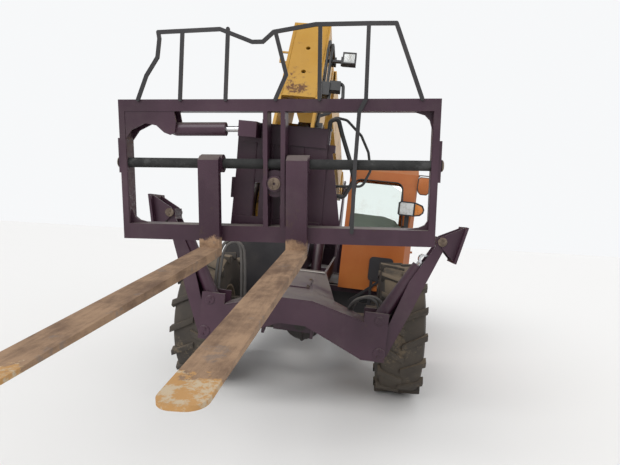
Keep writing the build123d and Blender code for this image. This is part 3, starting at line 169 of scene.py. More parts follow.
def makeRust():
    group, put, end = newGroup("rustySteel", ("Light", "Dark", "Steel"), ("Worn",))
    coords = pointCoords(group)
    broad = noiseAt(group, coords, 5, 8, 0.66)
    along = noiseAt(group, coords, 26, 6, 0.7, (1, 0.12, 1))
    fine = noiseAt(group, coords, 120, 4, 0.7)
    blend = maths(group, "ADD", maths(group, "MULTIPLY", broad, 0.6), maths(group, "MULTIPLY", along, 0.4))
    colour = mixColour(group, band(group, blend, 0.36, 0.62), put["Dark"], put["Light"])
    bare = maths(group, "MULTIPLY", band(group, noiseAt(group, coords, 8, 6, 0.7), 0.56, 0.66), put["Worn"])
    colour = mixColour(group, bare, colour, put["Steel"])
    rough = maths(group, "SUBTRACT", 0.88, maths(group, "MULTIPLY", bare, 0.35))
    height = maths(group, "ADD", fine, maths(group, "MULTIPLY", broad, 0.8))
    putIn(group, end, {"Color": colour, "Roughness": rough, "Height": height})
    return group


groups = {"wornPaint": makeWornPaint(), "rustySteel": makeRust()}


def newMaterial(name, metallic=0.0, coat=0.0):
    material = bpy.data.materials.new(name)
    material.use_nodes = True
    shader = material.node_tree.nodes["Principled BSDF"]
    putIn(material.node_tree, shader, {"Metallic": metallic, "Coat Weight": coat})
    return material, material.node_tree, shader


def lookNode(tree, slot):
    node = addNode(tree, "Group", node_tree=groups[looks[slot][1]])
    for socket, value in zip(node.inputs, looks[slot][4:]):
        socket.default_value = value if isinstance(value, float) else (*value, 1)
    return node.outputs


def paintMaterial(slot):
    name, _, strength, depth = looks[slot][:4]
    material, tree, shader = newMaterial(name)
    paint = lookNode(tree, slot)
    bump = addNode(tree, "Bump", {"Height": paint["Height"], "Strength": strength, "Distance": depth})
    putIn(tree, shader, {"Base Color": paint["Color"], "Roughness": paint["Roughness"],
                         "Normal": bump.outputs[0]})
    return material


looks = {
    # slot: material's name, group, strength and depth of its bumps, then the values of the group's inputs:
    # paint, faded paint, bare metal, dust, chips, dustiness and gloss, or light, dark, steel and wear
    "plum_paint": ("plumPaint", "wornPaint", 0.35, 0.002, (0.030, 0.008, 0.019), (0.055, 0.022, 0.038),
                   (0.050, 0.026, 0.020), (0.17, 0.145, 0.125), 0.5, 0.75, 0.42),
    "yellow_paint": ("mustardPaint", "wornPaint", 0.3, 0.002, (0.41, 0.205, 0.012), (0.47, 0.26, 0.032),
                     (0.12, 0.05, 0.02), (0.30, 0.22, 0.12), 0.75, 0.35, 0.45),
    # orange paint: both colours are darker than the paint's own, painted shade of the cab's roof laid into them
    "orange_paint": ("orangePaintWithPaintedShade", "wornPaint", 0.25, 0.002, (0.33, 0.082, 0.009), (0.40, 0.125, 0.022),
                     (0.09, 0.035, 0.018), (0.32, 0.22, 0.13), 0.4, 0.35, 0.42),
    "black_paint": ("blackPaint", "wornPaint", 0.3, 0.002, (0.016, 0.015, 0.017), (0.032, 0.029, 0.031),
                    (0.06, 0.035, 0.02), (0.20, 0.16, 0.12), 0.3, 0.4, 0.45),
    "rim_paint": ("rimPaint", "wornPaint", 0.3, 0.002, (0.27, 0.21, 0.15), (0.22, 0.17, 0.12),
                  (0.09, 0.05, 0.028), (0.24, 0.18, 0.13), 0.6, 0.7, 0.6),
    "axle_iron": ("greasyIron", "wornPaint", 0.6, 0.004, (0.028, 0.023, 0.021), (0.05, 0.04, 0.034),
                  (0.07, 0.04, 0.022), (0.18, 0.14, 0.10), 0.5, 0.6, 0.6),
    "tyre": ("dustyRubber", "wornPaint", 0.5, 0.003, (0.028, 0.024, 0.021), (0.065, 0.052, 0.039),
             (0.13, 0.10, 0.067), (0.17, 0.13, 0.088), 0.75, 1.0, 0.78),
    "worn_steel": ("rustyTine", "rustySteel", 0.5, 0.003, (0.33, 0.21, 0.125), (0.13, 0.075, 0.045),
                   (0.11, 0.10, 0.10), 0.45),
    "shaft_steel": ("shaftSteel", "rustySteel", 0.25, 0.002, (0.026, 0.026, 0.025), (0.012, 0.012, 0.012),
                    (0.05, 0.05, 0.048), 0.5),
    "seat_cover": ("seatCloth", "wornPaint", 0.5, 0.002, (0.018, 0.018, 0.02), (0.04, 0.04, 0.042),
                   (0.07, 0.06, 0.05), (0.2, 0.17, 0.13), 0.2, 0.5, 0.75),
    "dash_plastic": ("dashPlastic", "wornPaint", 0.2, 0.001, (0.10, 0.115, 0.092), (0.14, 0.15, 0.125),
                     (0.08, 0.07, 0.055), (0.27, 0.24, 0.19), 0.15, 0.45, 0.55),
    "black_plastic": ("blackPlastic", "wornPaint", 0.2, 0.001, (0.012, 0.012, 0.013), (0.024, 0.024, 0.025),
                      (0.045, 0.04, 0.03), (0.17, 0.145, 0.11), 0.1, 0.3, 0.42),
    # finishes of the scene's own small pieces
    "nut_steel": ("nutSteel", "rustySteel", 0.3, 0.001, (0.20, 0.15, 0.11), (0.07, 0.048, 0.035),
                  (0.16, 0.155, 0.15), 0.8),
    "grey_hose": ("greyHose", "wornPaint", 0.2, 0.001, (0.055, 0.052, 0.050), (0.10, 0.092, 0.085),
                  (0.03, 0.028, 0.025), (0.22, 0.18, 0.14), 0.2, 0.6, 0.6),
    "white_paint": ("chalkyWhite", "wornPaint", 0.2, 0.001, (0.62, 0.60, 0.55), (0.52, 0.48, 0.42),
                    (0.10, 0.06, 0.04), (0.34, 0.28, 0.22), 0.5, 0.5, 0.5),
}
materials = {slot: paintMaterial(slot) for slot in looks}

# Forks: rusty tines under painted shanks, with flakes of old yellow paint left at the tips
forkLook = {"heel": -0.330, "blend": 0.030, "chips": 0.75, "tipAhead": -1.835, "tip": (0.46, 0.25, 0.085),
            "patch": (0.50, 0.40, 0.27)}


def alongAxis(tree, coords, axis, start):
    # how far a point lies along an axis of the carriage's frame
    reach = addNode(tree, "VectorMath", {0: coords, 1: tuple(axis)}, operation="DOT_PRODUCT").outputs["Value"]
    return maths(tree, "SUBTRACT", reach, axis.dot(start))


def dressForks(material):
    tree = material.node_tree
    shader = tree.nodes["Principled BSDF"]
    coords = pointCoords(tree)
    start = carriageFrame.to_translation()
    up = alongAxis(tree, coords, carriageFrame.col[2].to_3d(), start)
    ahead = alongAxis(tree, coords, carriageFrame.col[1].to_3d(), start)
    ragged = maths(tree, "MULTIPLY", maths(tree, "SUBTRACT", noiseAt(tree, coords, 14, 6, 0.7), 0.5), 0.16)
    shank = band(tree, maths(tree, "ADD", up, ragged), forkLook["heel"], forkLook["heel"] + forkLook["blend"])
    paint = lookNode(tree, "plum_paint")
    paint["Color"].node.inputs["Chips"].default_value = forkLook["chips"]
    rust = shader.inputs["Base Color"].links[0].from_socket
    roughness = shader.inputs["Roughness"].links[0].from_socket
    flakes = maths(tree, "ADD", ahead, maths(tree, "MULTIPLY", ragged, 1.6))
    tip = band(tree, flakes, forkLook["tipAhead"], forkLook["tipAhead"] - 0.02)
    flakeColour = mixColour(tree, band(tree, noiseAt(tree, coords, 22, 6, 0.7), 0.48, 0.56),
                            (*forkLook["tip"], 1), (*forkLook["patch"], 1))
    colour = mixColour(tree, maths(tree, "MULTIPLY", tip, 0.85), rust, flakeColour)
    colour = mixColour(tree, shank, colour, paint["Color"])
    blend = addNode(tree, "Mix", {0: shank, 2: roughness, 3: paint["Roughness"]}, data_type="FLOAT")
    putIn(tree, shader, {"Base Color": colour, "Roughness": blend.outputs[0]})


dressForks(materials["worn_steel"])


def makeChrome():
    material, tree, shader = newMaterial("rodChrome", metallic=1.0)
    coords = pointCoords(tree)
    smear = noiseAt(tree, coords, 20, 4)
    colour = mixColour(tree, band(tree, smear, 0.45, 0.75), (0.72, 0.73, 0.75, 1), (0.5, 0.46, 0.42, 1))
    rough = maths(tree, "ADD", maths(tree, "MULTIPLY", smear, 0.3), 0.08)
    putIn(tree, shader, {"Base Color": colour, "Roughness": rough})
    return material


def makeLens(name, clean, dirty, clearness):
    # moulded lamp glass: a little dirt in its colour and fine flutes across it
    material, tree, shader = newMaterial(name, coat=0.6)
    coords = pointCoords(tree)
    dirt = noiseAt(tree, coords, 30, 5)
    colour = mixColour(tree, band(tree, dirt, 0.45, 0.8), (*clean, 1), (*dirty, 1))
    rough = maths(tree, "ADD", maths(tree, "MULTIPLY", dirt, 0.3), 0.05)
    flutes = addNode(tree, "TexWave", {"Vector": coords, "Scale": 32.0}, bands_direction="X")
    bump = addNode(tree, "Bump", {"Height": flutes.outputs["Fac"], "Strength": 0.5, "Distance": 0.002})
    putIn(tree, shader, {"Base Color": colour, "Roughness": rough, "Normal": bump.outputs[0],
                         "Transmission Weight": clearness})
    return material


def makePane():
    material, tree, shader = newMaterial("windowGlass")
    coords = pointCoords(tree)
    dirt = band(tree, noiseAt(tree, coords, 3.5, 7, 0.65), 0.5, 0.85)
    putIn(tree, shader, {"Base Color": mixColour(tree, dirt, (0.93, 0.97, 0.95, 1), (0.80, 0.79, 0.74, 1)),
                         "Roughness": maths(tree, "MULTIPLY", dirt, 0.25), "Transmission Weight": 1.0,
                         "IOR": 1.1})
    return material


def makeMirrorGlass():
    material, tree, shader = newMaterial("mirrorGlass", metallic=1.0)
    coords = pointCoords(tree)
    dirt = band(tree, noiseAt(tree, coords, 14, 6, 0.65), 0.5, 0.8)
    putIn(tree, shader, {"Base Color": mixColour(tree, dirt, (0.78, 0.80, 0.82, 1), (0.45, 0.42, 0.38, 1)),
                         "Roughness": maths(tree, "ADD", maths(tree, "MULTIPLY", dirt, 0.4), 0.03)})
    return material


materials["rod_chrome"] = makeChrome()
materials["clear_lens"] = makeLens("clearLens", (0.80, 0.82, 0.80), (0.45, 0.42, 0.36), 0.35)
materials["amber_lens"] = makeLens("amberLens", (0.75, 0.24, 0.02), (0.35, 0.13, 0.03), 0.25)
materials["red_lens"] = makeLens("redLens", (0.42, 0.015, 0.012), (0.16, 0.03, 0.02), 0.2)
materials["pane"] = makePane()
materials["mirror_glass"] = makeMirrorGlass()
slotOf = {part["node"]: part["material_slot"] for part in frame["record"]["subparts"]}
for name, item in nodes.items():
    item.data.materials.clear()
    item.data.materials.append(materials[slotOf[name]])
print("materials:", len(materials))


# Ways of making a piece
def pick(piece):
    bpy.ops.object.select_all(action="DESELECT")
    piece.select_set(True)
    bpy.context.view_layer.objects.active = piece


def finishPiece(piece, name, body, look, place=None, smooth=30):
    pick(piece)
    if place is not None:
        piece.matrix_world = place @ piece.matrix_world
    bpy.ops.object.transform_apply()
    if smooth:
        bpy.ops.object.shade_smooth_by_angle(angle=math.radians(smooth))
    piece.name = name
    piece.data.materials.clear()
    piece.data.materials.append(materials[look])
    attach(piece, body)
    piece.select_set(False)
    return piece


def editAll(piece):
    pick(piece)
    bpy.ops.object.mode_set(mode="EDIT")
    bpy.ops.mesh.select_all(action="SELECT")


def leaveEdit():
    bpy.ops.mesh.select_all(action="SELECT")
    bpy.ops.mesh.normals_make_consistent(inside=False)
    bpy.ops.object.mode_set(mode="OBJECT")


def applyModifier(piece, kind, **settings):
    bpy.context.view_layer.objects.active = piece
    modifier = piece.modifiers.new(kind.lower(), kind)
    for key, value in settings.items():
        setattr(modifier, key, value)
    bpy.ops.object.modifier_apply(modifier=modifier.name)


def softenEdges(piece, width, segments=2):
    applyModifier(piece, "BEVEL", width=width, segments=segments, limit_method="ANGLE",
                  angle_limit=math.radians(35))


def rectangle(width, height):
    return [(-width / 2, -height / 2), (width / 2, -height / 2), (width / 2, height / 2),
            (-width / 2, height / 2)]


def plateOf(outline, depth, edge=0.002, lift=0.0):
    # an outline on X and Y, thickened along Z
    bpy.ops.mesh.primitive_circle_add(vertices=len(outline), radius=1.0, fill_type="NGON")
    piece = bpy.context.object
    for vertex, (across, up) in zip(piece.data.vertices, outline):
        vertex.co = (across, up, lift)
    editAll(piece)
    bpy.ops.mesh.extrude_region_move(TRANSFORM_OT_translate={"value": (0, 0, depth)})
    leaveEdit()
    if edge:
        softenEdges(piece, edge)
    return piece


def blockOf(size, middle=(0, 0, 0)):
    bpy.ops.mesh.primitive_cube_add(size=1, location=middle)
    piece = bpy.context.object
    piece.scale = size
    bpy.ops.object.transform_apply()
    return piece


def turnedRing(profile, steps=48):
    # a closed outline (along, radius) spun round the X axis
    bpy.ops.mesh.primitive_circle_add(vertices=len(profile), radius=1.0, fill_type="NOTHING")
    piece = bpy.context.object
    for vertex, (along, radius) in zip(piece.data.vertices, profile):
        vertex.co = (along, 0, radius)
    editAll(piece)
    bpy.ops.mesh.spin(steps=steps, angle=math.tau, center=(0, 0, 0), axis=(1, 0, 0))
    bpy.ops.mesh.select_all(action="SELECT")
    bpy.ops.mesh.remove_doubles(threshold=0.00002)
    bpy.ops.mesh.delete_loose()
    leaveEdit()
    return piece


def joinAll(pieces):
    pick(pieces[0])
    for piece in pieces[1:]:
        piece.select_set(True)
    bpy.ops.object.join()
    return bpy.context.object


def copyAt(piece, place):
    twin = piece.copy()
    twin.data = piece.data.copy()
    twin.matrix_world = place @ piece.matrix_world
    bpy.context.scene.collection.objects.link(twin)
    return twin


def dropPiece(piece):
    bpy.data.objects.remove(piece, do_unlink=True)


def pipeAlong(points, radius, sides=4):
    # a hose on one smooth line, made a mesh with closed ends
    curve = bpy.data.curves.new("pipe", "CURVE")
    curve.dimensions = "3D"
    line = curve.splines.new("NURBS")
    line.points.add(len(points) - 1)
    for point, (x, y, z) in zip(line.points, points):
        point.co = (x, y, z, 1)
    line.use_endpoint_u = True
    line.order_u = 3
    curve.resolution_u = 8
    curve.bevel_depth = radius
    curve.bevel_resolution = sides
    curve.use_fill_caps = True
    pipe = bpy.data.objects.new("pipe", curve)
    bpy.context.scene.collection.objects.link(pipe)
    pick(pipe)
    bpy.ops.object.convert(target="MESH")
    return bpy.context.object


def facing(frameMatrix, spot, out, up=(0, 0, 1)):
    # a place in a frame whose Z looks along out and whose Y looks along up
    z = Vector(out).normalized()
    y = (Vector(up) - z * Vector(up).dot(z)).normalized()
    turned = Matrix((y.cross(z), y, z)).transposed().to_4x4()
    return frameMatrix @ Matrix.Translation(spot) @ turned


# Hexagon bolt on its washer, standing on Z, one unit across its flats
boltLook = {"washer": 0.62, "washerHeight": 0.12, "head": 0.5, "headHeight": 0.48, "edge": 0.05}


def makeBolt():
    bpy.ops.mesh.primitive_cylinder_add(vertices=20, radius=boltLook["washer"],
                                        depth=boltLook["washerHeight"],
                                        location=(0, 0, boltLook["washerHeight"] / 2))
    washer = bpy.context.object
    softenEdges(washer, boltLook["edge"] / 2, 1)
    middle = boltLook["washerHeight"] + boltLook["headHeight"] / 2
    bpy.ops.mesh.primitive_cylinder_add(vertices=6, radius=boltLook["head"], depth=boltLook["headHeight"],
                                        location=(0, 0, middle))
    head = bpy.context.object
    softenEdges(head, boltLook["edge"], 1)
    bolt = joinAll([washer, head])
    bpy.ops.object.transform_apply()
    return bolt


bolt = makeBolt()


def boltsAt(places, size):
    scale = Matrix.Diagonal((size, size, size, 1))
    copies = [copyAt(bolt, place @ scale) for place in places]
    return joinAll(copies)


# Tyres: a moulded carcass with sloped chevron lugs
tyreLook = {"half": 0.210, "seat": 0.165, "bead": 0.3055, "crown": 0.605, "outer": 0.635, "lugFoot": 0.560,
            "lugs": 16, "sweep": 0.104, "lugWidth": 0.068, "lugEdge": 0.005, "steps": 96}


def makeTyre():
    seat, half, crown = tyreLook["seat"], tyreLook["half"], tyreLook["crown"]
    side = [(seat, tyreLook["bead"]), (seat, 0.321), (seat + 0.013, 0.330), (half - 0.022, 0.352),
            (half - 0.019, 0.362), (half - 0.014, 0.366), (half - 0.006, 0.398), (half - 0.004, 0.430),
            (half - 0.006, 0.478), (half - 0.012, 0.530), (half - 0.022, 0.566), (half - 0.034, 0.594),
            (half - 0.056, crown + 0.001), (half - 0.110, crown + 0.004)]
    profile = side + [(-along, radius) for along, radius in reversed(side)]
    carcass = turnedRing(profile, tyreLook["steps"])
    sweep, width, foot = tyreLook["sweep"], tyreLook["lugWidth"], tyreLook["lugFoot"]
    ahead = -(sweep + width) / 2
    top = math.sqrt(tyreLook["outer"] ** 2 - ahead ** 2)
    spread, slope = 0.007, 0.003    # how far the lug's foot is wider than its top
    corners = [(-0.012, ahead), (half - 0.0005, ahead + sweep), (half - 0.0005, ahead + sweep + width),
               (-0.012, ahead + width)]
    outlineTop = [(corners[0][0], ahead + spread), (corners[1][0] - slope, corners[1][1] + spread),
                  (corners[2][0] - slope, corners[2][1] - spread), (corners[3][0], corners[3][1] - spread)]
    lug = plateOf(corners, top - foot, 0, foot)
    for index, (across, along) in enumerate(outlineTop):
        lug.data.vertices[index + 4].co.x = across
        lug.data.vertices[index + 4].co.y = along
    softenEdges(lug, tyreLook["lugEdge"])
    pitch = math.tau / tyreLook["lugs"]
    mirrored = copyAt(lug, Matrix.Diagonal((-1, 1, 1, 1)))
    pick(mirrored)
    bpy.ops.object.transform_apply()
    editAll(mirrored)
    leaveEdit()
    copies = []
    for step in range(tyreLook["lugs"]):
        copies.append(copyAt(lug, Matrix.Rotation(step * pitch, 4, "X")))
        copies.append(copyAt(mirrored, Matrix.Rotation((step + 0.5) * pitch, 4, "X")))
    dropPiece(lug)
    dropPiece(mirrored)
    return joinAll([carcass, *copies])


# Wheel fittings on the rim's outer side: nuts on their studs, hub cover, lock ring and valve
rimLook = {"disc": 0.074, "nutCircle": 0.205, "nuts": 10, "nutSize": 0.036, "coverFace": 0.140}


def outward(spot):
    return facing(Matrix.Identity(4), spot, (1, 0, 0))


def makeRimRing():
    seat = tyreLook["seat"]
    return turnedRing([(seat - 0.004, 0.290), (seat + 0.006, 0.290), (seat + 0.011, 0.300),
                       (seat + 0.011, 0.312), (seat + 0.007, 0.3175), (seat + 0.001, 0.3165),
                       (seat - 0.001, 0.306), (seat - 0.004, 0.302)], 72)


def makeHubCover():
    face = rimLook["coverFace"]
    cover = turnedRing([(face - 0.002, 0.0), (face - 0.002, 0.066), (face + 0.006, 0.066),
                        (face + 0.012, 0.058), (face + 0.016, 0.030), (face + 0.022, 0.026),
                        (face + 0.024, 0.010), (face + 0.024, 0.0)], 40)
    small = [outward((face - 0.001, 0.078 * math.cos(a), 0.078 * math.sin(a)))
             for a in (math.tau * k / 8 for k in range(8))]
    return joinAll([cover, boltsAt(small, 0.014)])


def makeNuts():
    spots = [(rimLook["nutCircle"] * math.cos(a), rimLook["nutCircle"] * math.sin(a))
             for a in (math.tau * (k + 0.5) / rimLook["nuts"] for k in range(rimLook["nuts"]))]
    nuts = boltsAt([outward((rimLook["disc"] - 0.001, y, z)) for y, z in spots], rimLook["nutSize"])
    studs = []
    for y, z in spots:
        bpy.ops.mesh.primitive_cylinder_add(vertices=12, radius=0.0085, depth=0.03,
                                            location=(rimLook["disc"] + 0.022, y, z),
                                            rotation=(0, math.pi / 2, 0))
        studs.append(bpy.context.object)
        softenEdges(studs[-1], 0.002, 1)
    valve = pipeAlong([(0.074, 0.0, 0.246), (0.098, 0.0, 0.246), (0.116, 0.0, 0.256), (0.132, 0.0, 0.262)],
                      0.0045, 3)
    return joinAll([nuts, *studs, valve])


wheelParts = [
    # name, what makes it, finish, whether it stands for the tyre's node
    ("tyreTread", makeTyre, "tyre", True),
    ("rimRing", makeRimRing, "rim_paint", False),
    ("hubCover", makeHubCover, "rim_paint", False),
    ("wheelNuts", makeNuts, "nut_steel", False),
]
for label, make, look, standsForTyre in wheelParts:
    first = make()
    for corner in ("front_left", "front_right", "rear_left", "rear_right"):
        place = Matrix.Translation(joints["roll_" + corner]["pos_m"])
        if corner.endswith("right"):
            place = place @ Matrix.Rotation(math.pi, 4, "Z")
        piece = finishPiece(copyAt(first, place), f"{label}_{corner}", "wheel_" + corner, look, None, 35)
        if standsForTyre:
            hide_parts("tyre_" + corner)
    dropPiece(first)
print("wheels fitted")

# Axles: cover ring with bolts round each differential, and a cap on each kingpin
axleLook = {"boltCircle": 0.204, "bolts": 12, "capRadius": 0.052, "capFoot": 0.186}
for end in ("front", "rear"):
    corners = (end + "_left", end + "_right")
    place = Matrix.Translation((Vector(joints["roll_" + corners[0]]["pos_m"])
                                + Vector(joints["roll_" + corners[1]]["pos_m"])) / 2)
    ring = turnedRing([(-0.012, 0.17), (0.012, 0.17), (0.012, 0.212), (0.008, 0.216), (-0.008, 0.216),
                       (-0.012, 0.212)], 56)
    radius = axleLook["boltCircle"]
    turns = [math.tau * k / axleLook["bolts"] for k in range(axleLook["bolts"])]
    bolts = boltsAt([outward((0.011, radius * math.cos(a), radius * math.sin(a))) for a in turns], 0.015)
    finishPiece(joinAll([ring, bolts]), end + "_axleFlange", "chassis", "axle_iron", place)
    for corner in corners:
        caps = []
        for side in (1, -1):
            cap = turnedRing([(0, 0), (0, axleLook["capRadius"]), (0.010, axleLook["capRadius"]),
                              (0.018, 0.040), (0.020, 0.0)], 32)
            spot = Vector(joints["steer_" + corner]["pos_m"]) + Vector((0, 0, side * axleLook["capFoot"]))
            caps.append(copyAt(cap, Matrix.Translation(spot) @ Matrix.Rotation(-side * math.pi / 2, 4, "Y")))
            dropPiece(cap)
        finishPiece(joinAll(caps), "kingpinCaps_" + corner, "knuckle_" + corner, "axle_iron")
print("axles fitted")


# Pin ends: a round plate with two bolts, wherever a pin shows its end
def pinEnd(radius):
    plate = turnedRing([(0, 0), (0, radius), (0.006, radius), (0.009, radius - 0.004), (0.009, 0.0)], 36)
    spots = [outward((0.008, offset, 0)) for offset in (-radius * 0.5, radius * 0.5)]
    return joinAll([plate, boltsAt(spots, radius * 0.42)])


def pinEnds(name, body, look, frameMatrix, ends):
    # ends: spot, way it faces, radius
    caps = []
    for spot, out, radius in ends:
        cap = pinEnd(radius)
        turned = facing(frameMatrix, spot, out, (0.3, 0.2, 1)) @ Matrix.Rotation(-math.pi / 2, 4, "Y")
        caps.append(copyAt(cap, turned))
        dropPiece(cap)
    finishPiece(joinAll(caps), name, body, look)


def acrossPins(name, body, frameMatrix, across, along, up, radius):
    pinEnds(name, body, "nut_steel", frameMatrix,
            [((side * across, along, up), (side, 0, 0), radius) for side in (1, -1)])


beamFront = -0.975
for side, label in ((1, "left"), (-1, "right")):
    pinEnds("bracketPins_" + label, "chassis", "plum_paint", chassisFrame, [
        ((side * 0.724, beamFront, 0.648), (0, -1, 0), 0.048),
        ((side * 0.700, beamFront, 0.914), (0, -1, 0), 0.038)])
    pinEnds("footPins_" + label, "stabiliser_foot_" + label, "nut_steel", chassisFrame, [
        ((side * 1.120, -0.963, 1.597), (0, -1, 0), 0.036),
        ((side * 1.120, -0.767, 1.597), (0, 1, 0), 0.036)])
acrossPins("boomPivotPins", "boom_outer", boomFrame, 0.249, 0, 0, 0.060)
acrossPins("headPins", "boom_inner", boomFrame, 0.140, -4.294, -0.524, 0.040)
acrossPins("adapterPins", "adapter", adapterFrame, 0.188, 0, 0, 0.052)
pinEnds("liftPins", "lift_cylinder", "nut_steel", chassisFrame, [
    ((0.164, 1.5, 0.68), (1, 0, 0), 0.034), ((-0.284, 1.5, 0.68), (-1, 0, 0), 0.034)])
print("pins capped")

# Carriage pin: end plate and bolts on the boss, and collars where the fork shaft ends
carriageLook = {"pinPlate": 0.036, "pinFront": -0.150, "collarIn": 0.0295, "collarOut": 0.046,
                "shaftEnd": 0.937}
plate = turnedRing([(0, 0.008), (0, carriageLook["pinPlate"]), (0.006, carriageLook["pinPlate"]),
                    (0.008, 0.032), (0.008, 0.008)], 40)
around = [outward((0.007, 0.022 * math.cos(a), 0.022 * math.sin(a)))
          for a in (0.4, 0.4 + math.tau / 3, 0.4 - math.tau / 3)]
disc = joinAll([plate, boltsAt(around, 0.013)])
finishPiece(disc, "carriagePinPlate", "adapter", "nut_steel",
            facing(carriageFrame, (0, carriageLook["pinFront"], 0), (0, -1, 0))
            @ Matrix.Rotation(-math.pi / 2, 4, "Y"))
collars = []
for side in (1, -1):
    inner, outer = carriageLook["collarIn"], carriageLook["collarOut"]
    collar = turnedRing([(0, 0), (0, outer - 0.012), (0.006, outer - 0.016), (0.010, inner - 0.008),
                         (0.010, 0.0)], 36)
    place = Matrix.Translation((side * carriageLook["shaftEnd"], -0.115, 0.112))
    if side < 0:
        place = place @ Matrix.Rotation(math.pi, 4, "Z")
    collars.append(copyAt(collar, place))
    dropPiece(collar)
finishPiece(joinAll(collars), "shaftEndCaps", "carriage", "nut_steel", carriageFrame)


# Weld seams: a rippled bead along a joint between two plates
def seams(name, body, look, frameMatrix, runs, radius=0.006):
    beads = []
    for start, end in runs:
        first, last = Vector(start), Vector(end)
        count = max(3, int((last - first).length / 0.02))
        points = []
        for step in range(count + 1):
            wobble = 0.0016 * math.sin(step * 2.4) + 0.001 * math.sin(step * 5.1)
            spot = first.lerp(last, step / count)
            points.append((spot.x, spot.y + wobble, spot.z + wobble * 0.6))
        beads.append(pipeAlong(points, radius, 1))
        editAll(beads[-1])
        leaveEdit()
    finishPiece(joinAll(beads), name, body, look, frameMatrix, 60)


def bothSides(runs):
    # each run and its mirror image over the middle plane
    return [[(side * x, y, z) for x, y, z in run] for run in runs for side in (1, -1)]


seams("carriageSeams", "carriage", "plum_paint", carriageFrame, bothSides([
    ((0.879, -0.150, -0.250), (0.879, -0.150, 0.405)), ((0.062, -0.153, -0.250), (0.062, -0.153, -0.120)),
    ((0.038, -0.153, -0.250), (0.038, -0.153, -0.120)), ((0.062, -0.153, 0.140), (0.062, -0.153, 0.360))]),
    0.0035)
seams("adapterSeams", "adapter", "plum_paint", adapterFrame, bothSides([
    ((0.147, -0.168, -0.080), (0.147, -0.168, 0.470)), ((0.042, -0.168, 0.240), (0.042, -0.168, 0.460))]))
seams("headSeams", "boom_inner", "yellow_paint", boomFrame, bothSides([
    ((0.121, -4.160, 0.158), (0.121, -4.545, 0.206)), ((0.121, -4.562, 0.196), (0.121, -4.797, -0.470))]))
seams("beamSeams", "chassis", "plum_paint", chassisFrame, [
    ((-0.560, -0.975, 0.895), (-0.135, -0.975, 1.008)), ((0.135, -0.975, 1.008), (0.560, -0.975, 0.895)),
    ((-0.577, -0.951, 0.600), (-0.577, -0.951, 0.880)), ((0.577, -0.951, 0.600), (0.577, -0.951, 0.880))])
print("seams run")

# Nose: the pale worn strip, bolts on the raised plate, and two grey hoses to each stabiliser's ram
noseLook = {"strip": (0.280, 0.030), "stripPlace": (0.022, 0.100, 1.1155), "hose": 0.013, "nut": 0.034,
            "nutHeight": 0.974, "plateStart": -0.50, "plateHeight": 1.046, "plateSlope": 0.138}
strip = plateOf(rectangle(*noseLook["strip"]), 0.004, 0.001)
finishPiece(strip, "noseStrip", "chassis", "white_paint",
            chassisFrame @ Matrix.Translation(noseLook["stripPlace"]))


def nutOn(spot, size):
    # a nut that stands up
    place = facing(Matrix.Identity(4), spot, (0, 0, 1), (0.3, 0.5, 0.8))
    return copyAt(bolt, place @ Matrix.Diagonal((size, size, size, 1)))


hoseRuns = {
    # the right pair stands up in a slack loop, the left pair lies low
    "ramHoses_right": [(-0.500, -0.700, 0.920), (-0.506, -0.735, 1.080), (-0.520, -0.748, 1.240),
                       (-0.545, -0.750, 1.390), (-0.640, -0.752, 1.420), (-0.712, -0.755, 1.350),
                       (-0.728, -0.762, 1.180), (-0.728, -0.767, 0.972)],
    "ramHoses_left": [(0.470, -0.690, 0.925), (0.490, -0.730, 1.000), (0.560, -0.752, 1.060),
                      (0.650, -0.757, 1.070), (0.715, -0.764, 1.030), (0.728, -0.767, 0.972)],
}
for name, run in hoseRuns.items():
    shift = 0.030 if run[0][0] < 0 else -0.030
    pair = [pipeAlong([(x + offset, y, z + lift) for x, y, z in run], noseLook["hose"])
            for offset, lift in ((0, 0), (shift, -0.012))]
    collars = [nutOn((run[-1][0] + offset, run[-1][1], noseLook["nutHeight"]), noseLook["nut"])
               for offset in (0, shift)]
    finishPiece(joinAll(pair + collars), name, "chassis", "grey_hose", chassisFrame, 40)
noseBolts = []
for x in (-0.135, 0.055):
    for y in (-0.49, -0.27):
        height = noseLook["plateHeight"] + (y - noseLook["plateStart"]) * noseLook["plateSlope"]
        noseBolts.append(facing(chassisFrame, (x, y, height), (0, -0.13, 1), (0, 1, 0)))
finishPiece(boltsAt(noseBolts, 0.026), "noseBolts", "chassis", "nut_steel")
print("nose dressed")

# Lamps: moulded lenses in the pockets of their housings
lensLook = {"thickness": 0.010, "edge": 0.003}
headLenses = [
    # name, material, outline across and up in the cab's front
    ("headlightLens", "clear_lens", [(0.880, 1.819), (0.880, 1.931), (0.8955, 1.942), (1.029, 1.940),
                                     (1.029, 1.809), (0.8905, 1.809)]),
    ("indicatorLens", "amber_lens", [(1.045, 1.811), (1.045, 1.939), (1.117, 1.913), (1.134, 1.878),
                                     (1.128, 1.847), (1.100, 1.820)]),
]
for name, look, outline in headLenses:
    lens = plateOf(outline, lensLook["thickness"], lensLook["edge"])
    finishPiece(lens, name, "chassis", look, facing(chassisFrame, (0, 0.5735, 0), (0, -1, 0)))
finishPiece(plateOf(rectangle(0.079, 0.068), 0.008, 0.003), "workLampLens", "boom_inner", "clear_lens",
            facing(boomFrame, (0.315, -4.7125, -0.132), (0, -1, 0)))
tailLook = {"across": 0.735, "rear": 3.9605, "up": 1.12, "size": (0.21, 0.095), "depth": 0.030,
            "share": (0.92, 0.84), "lensDepth": 0.012}
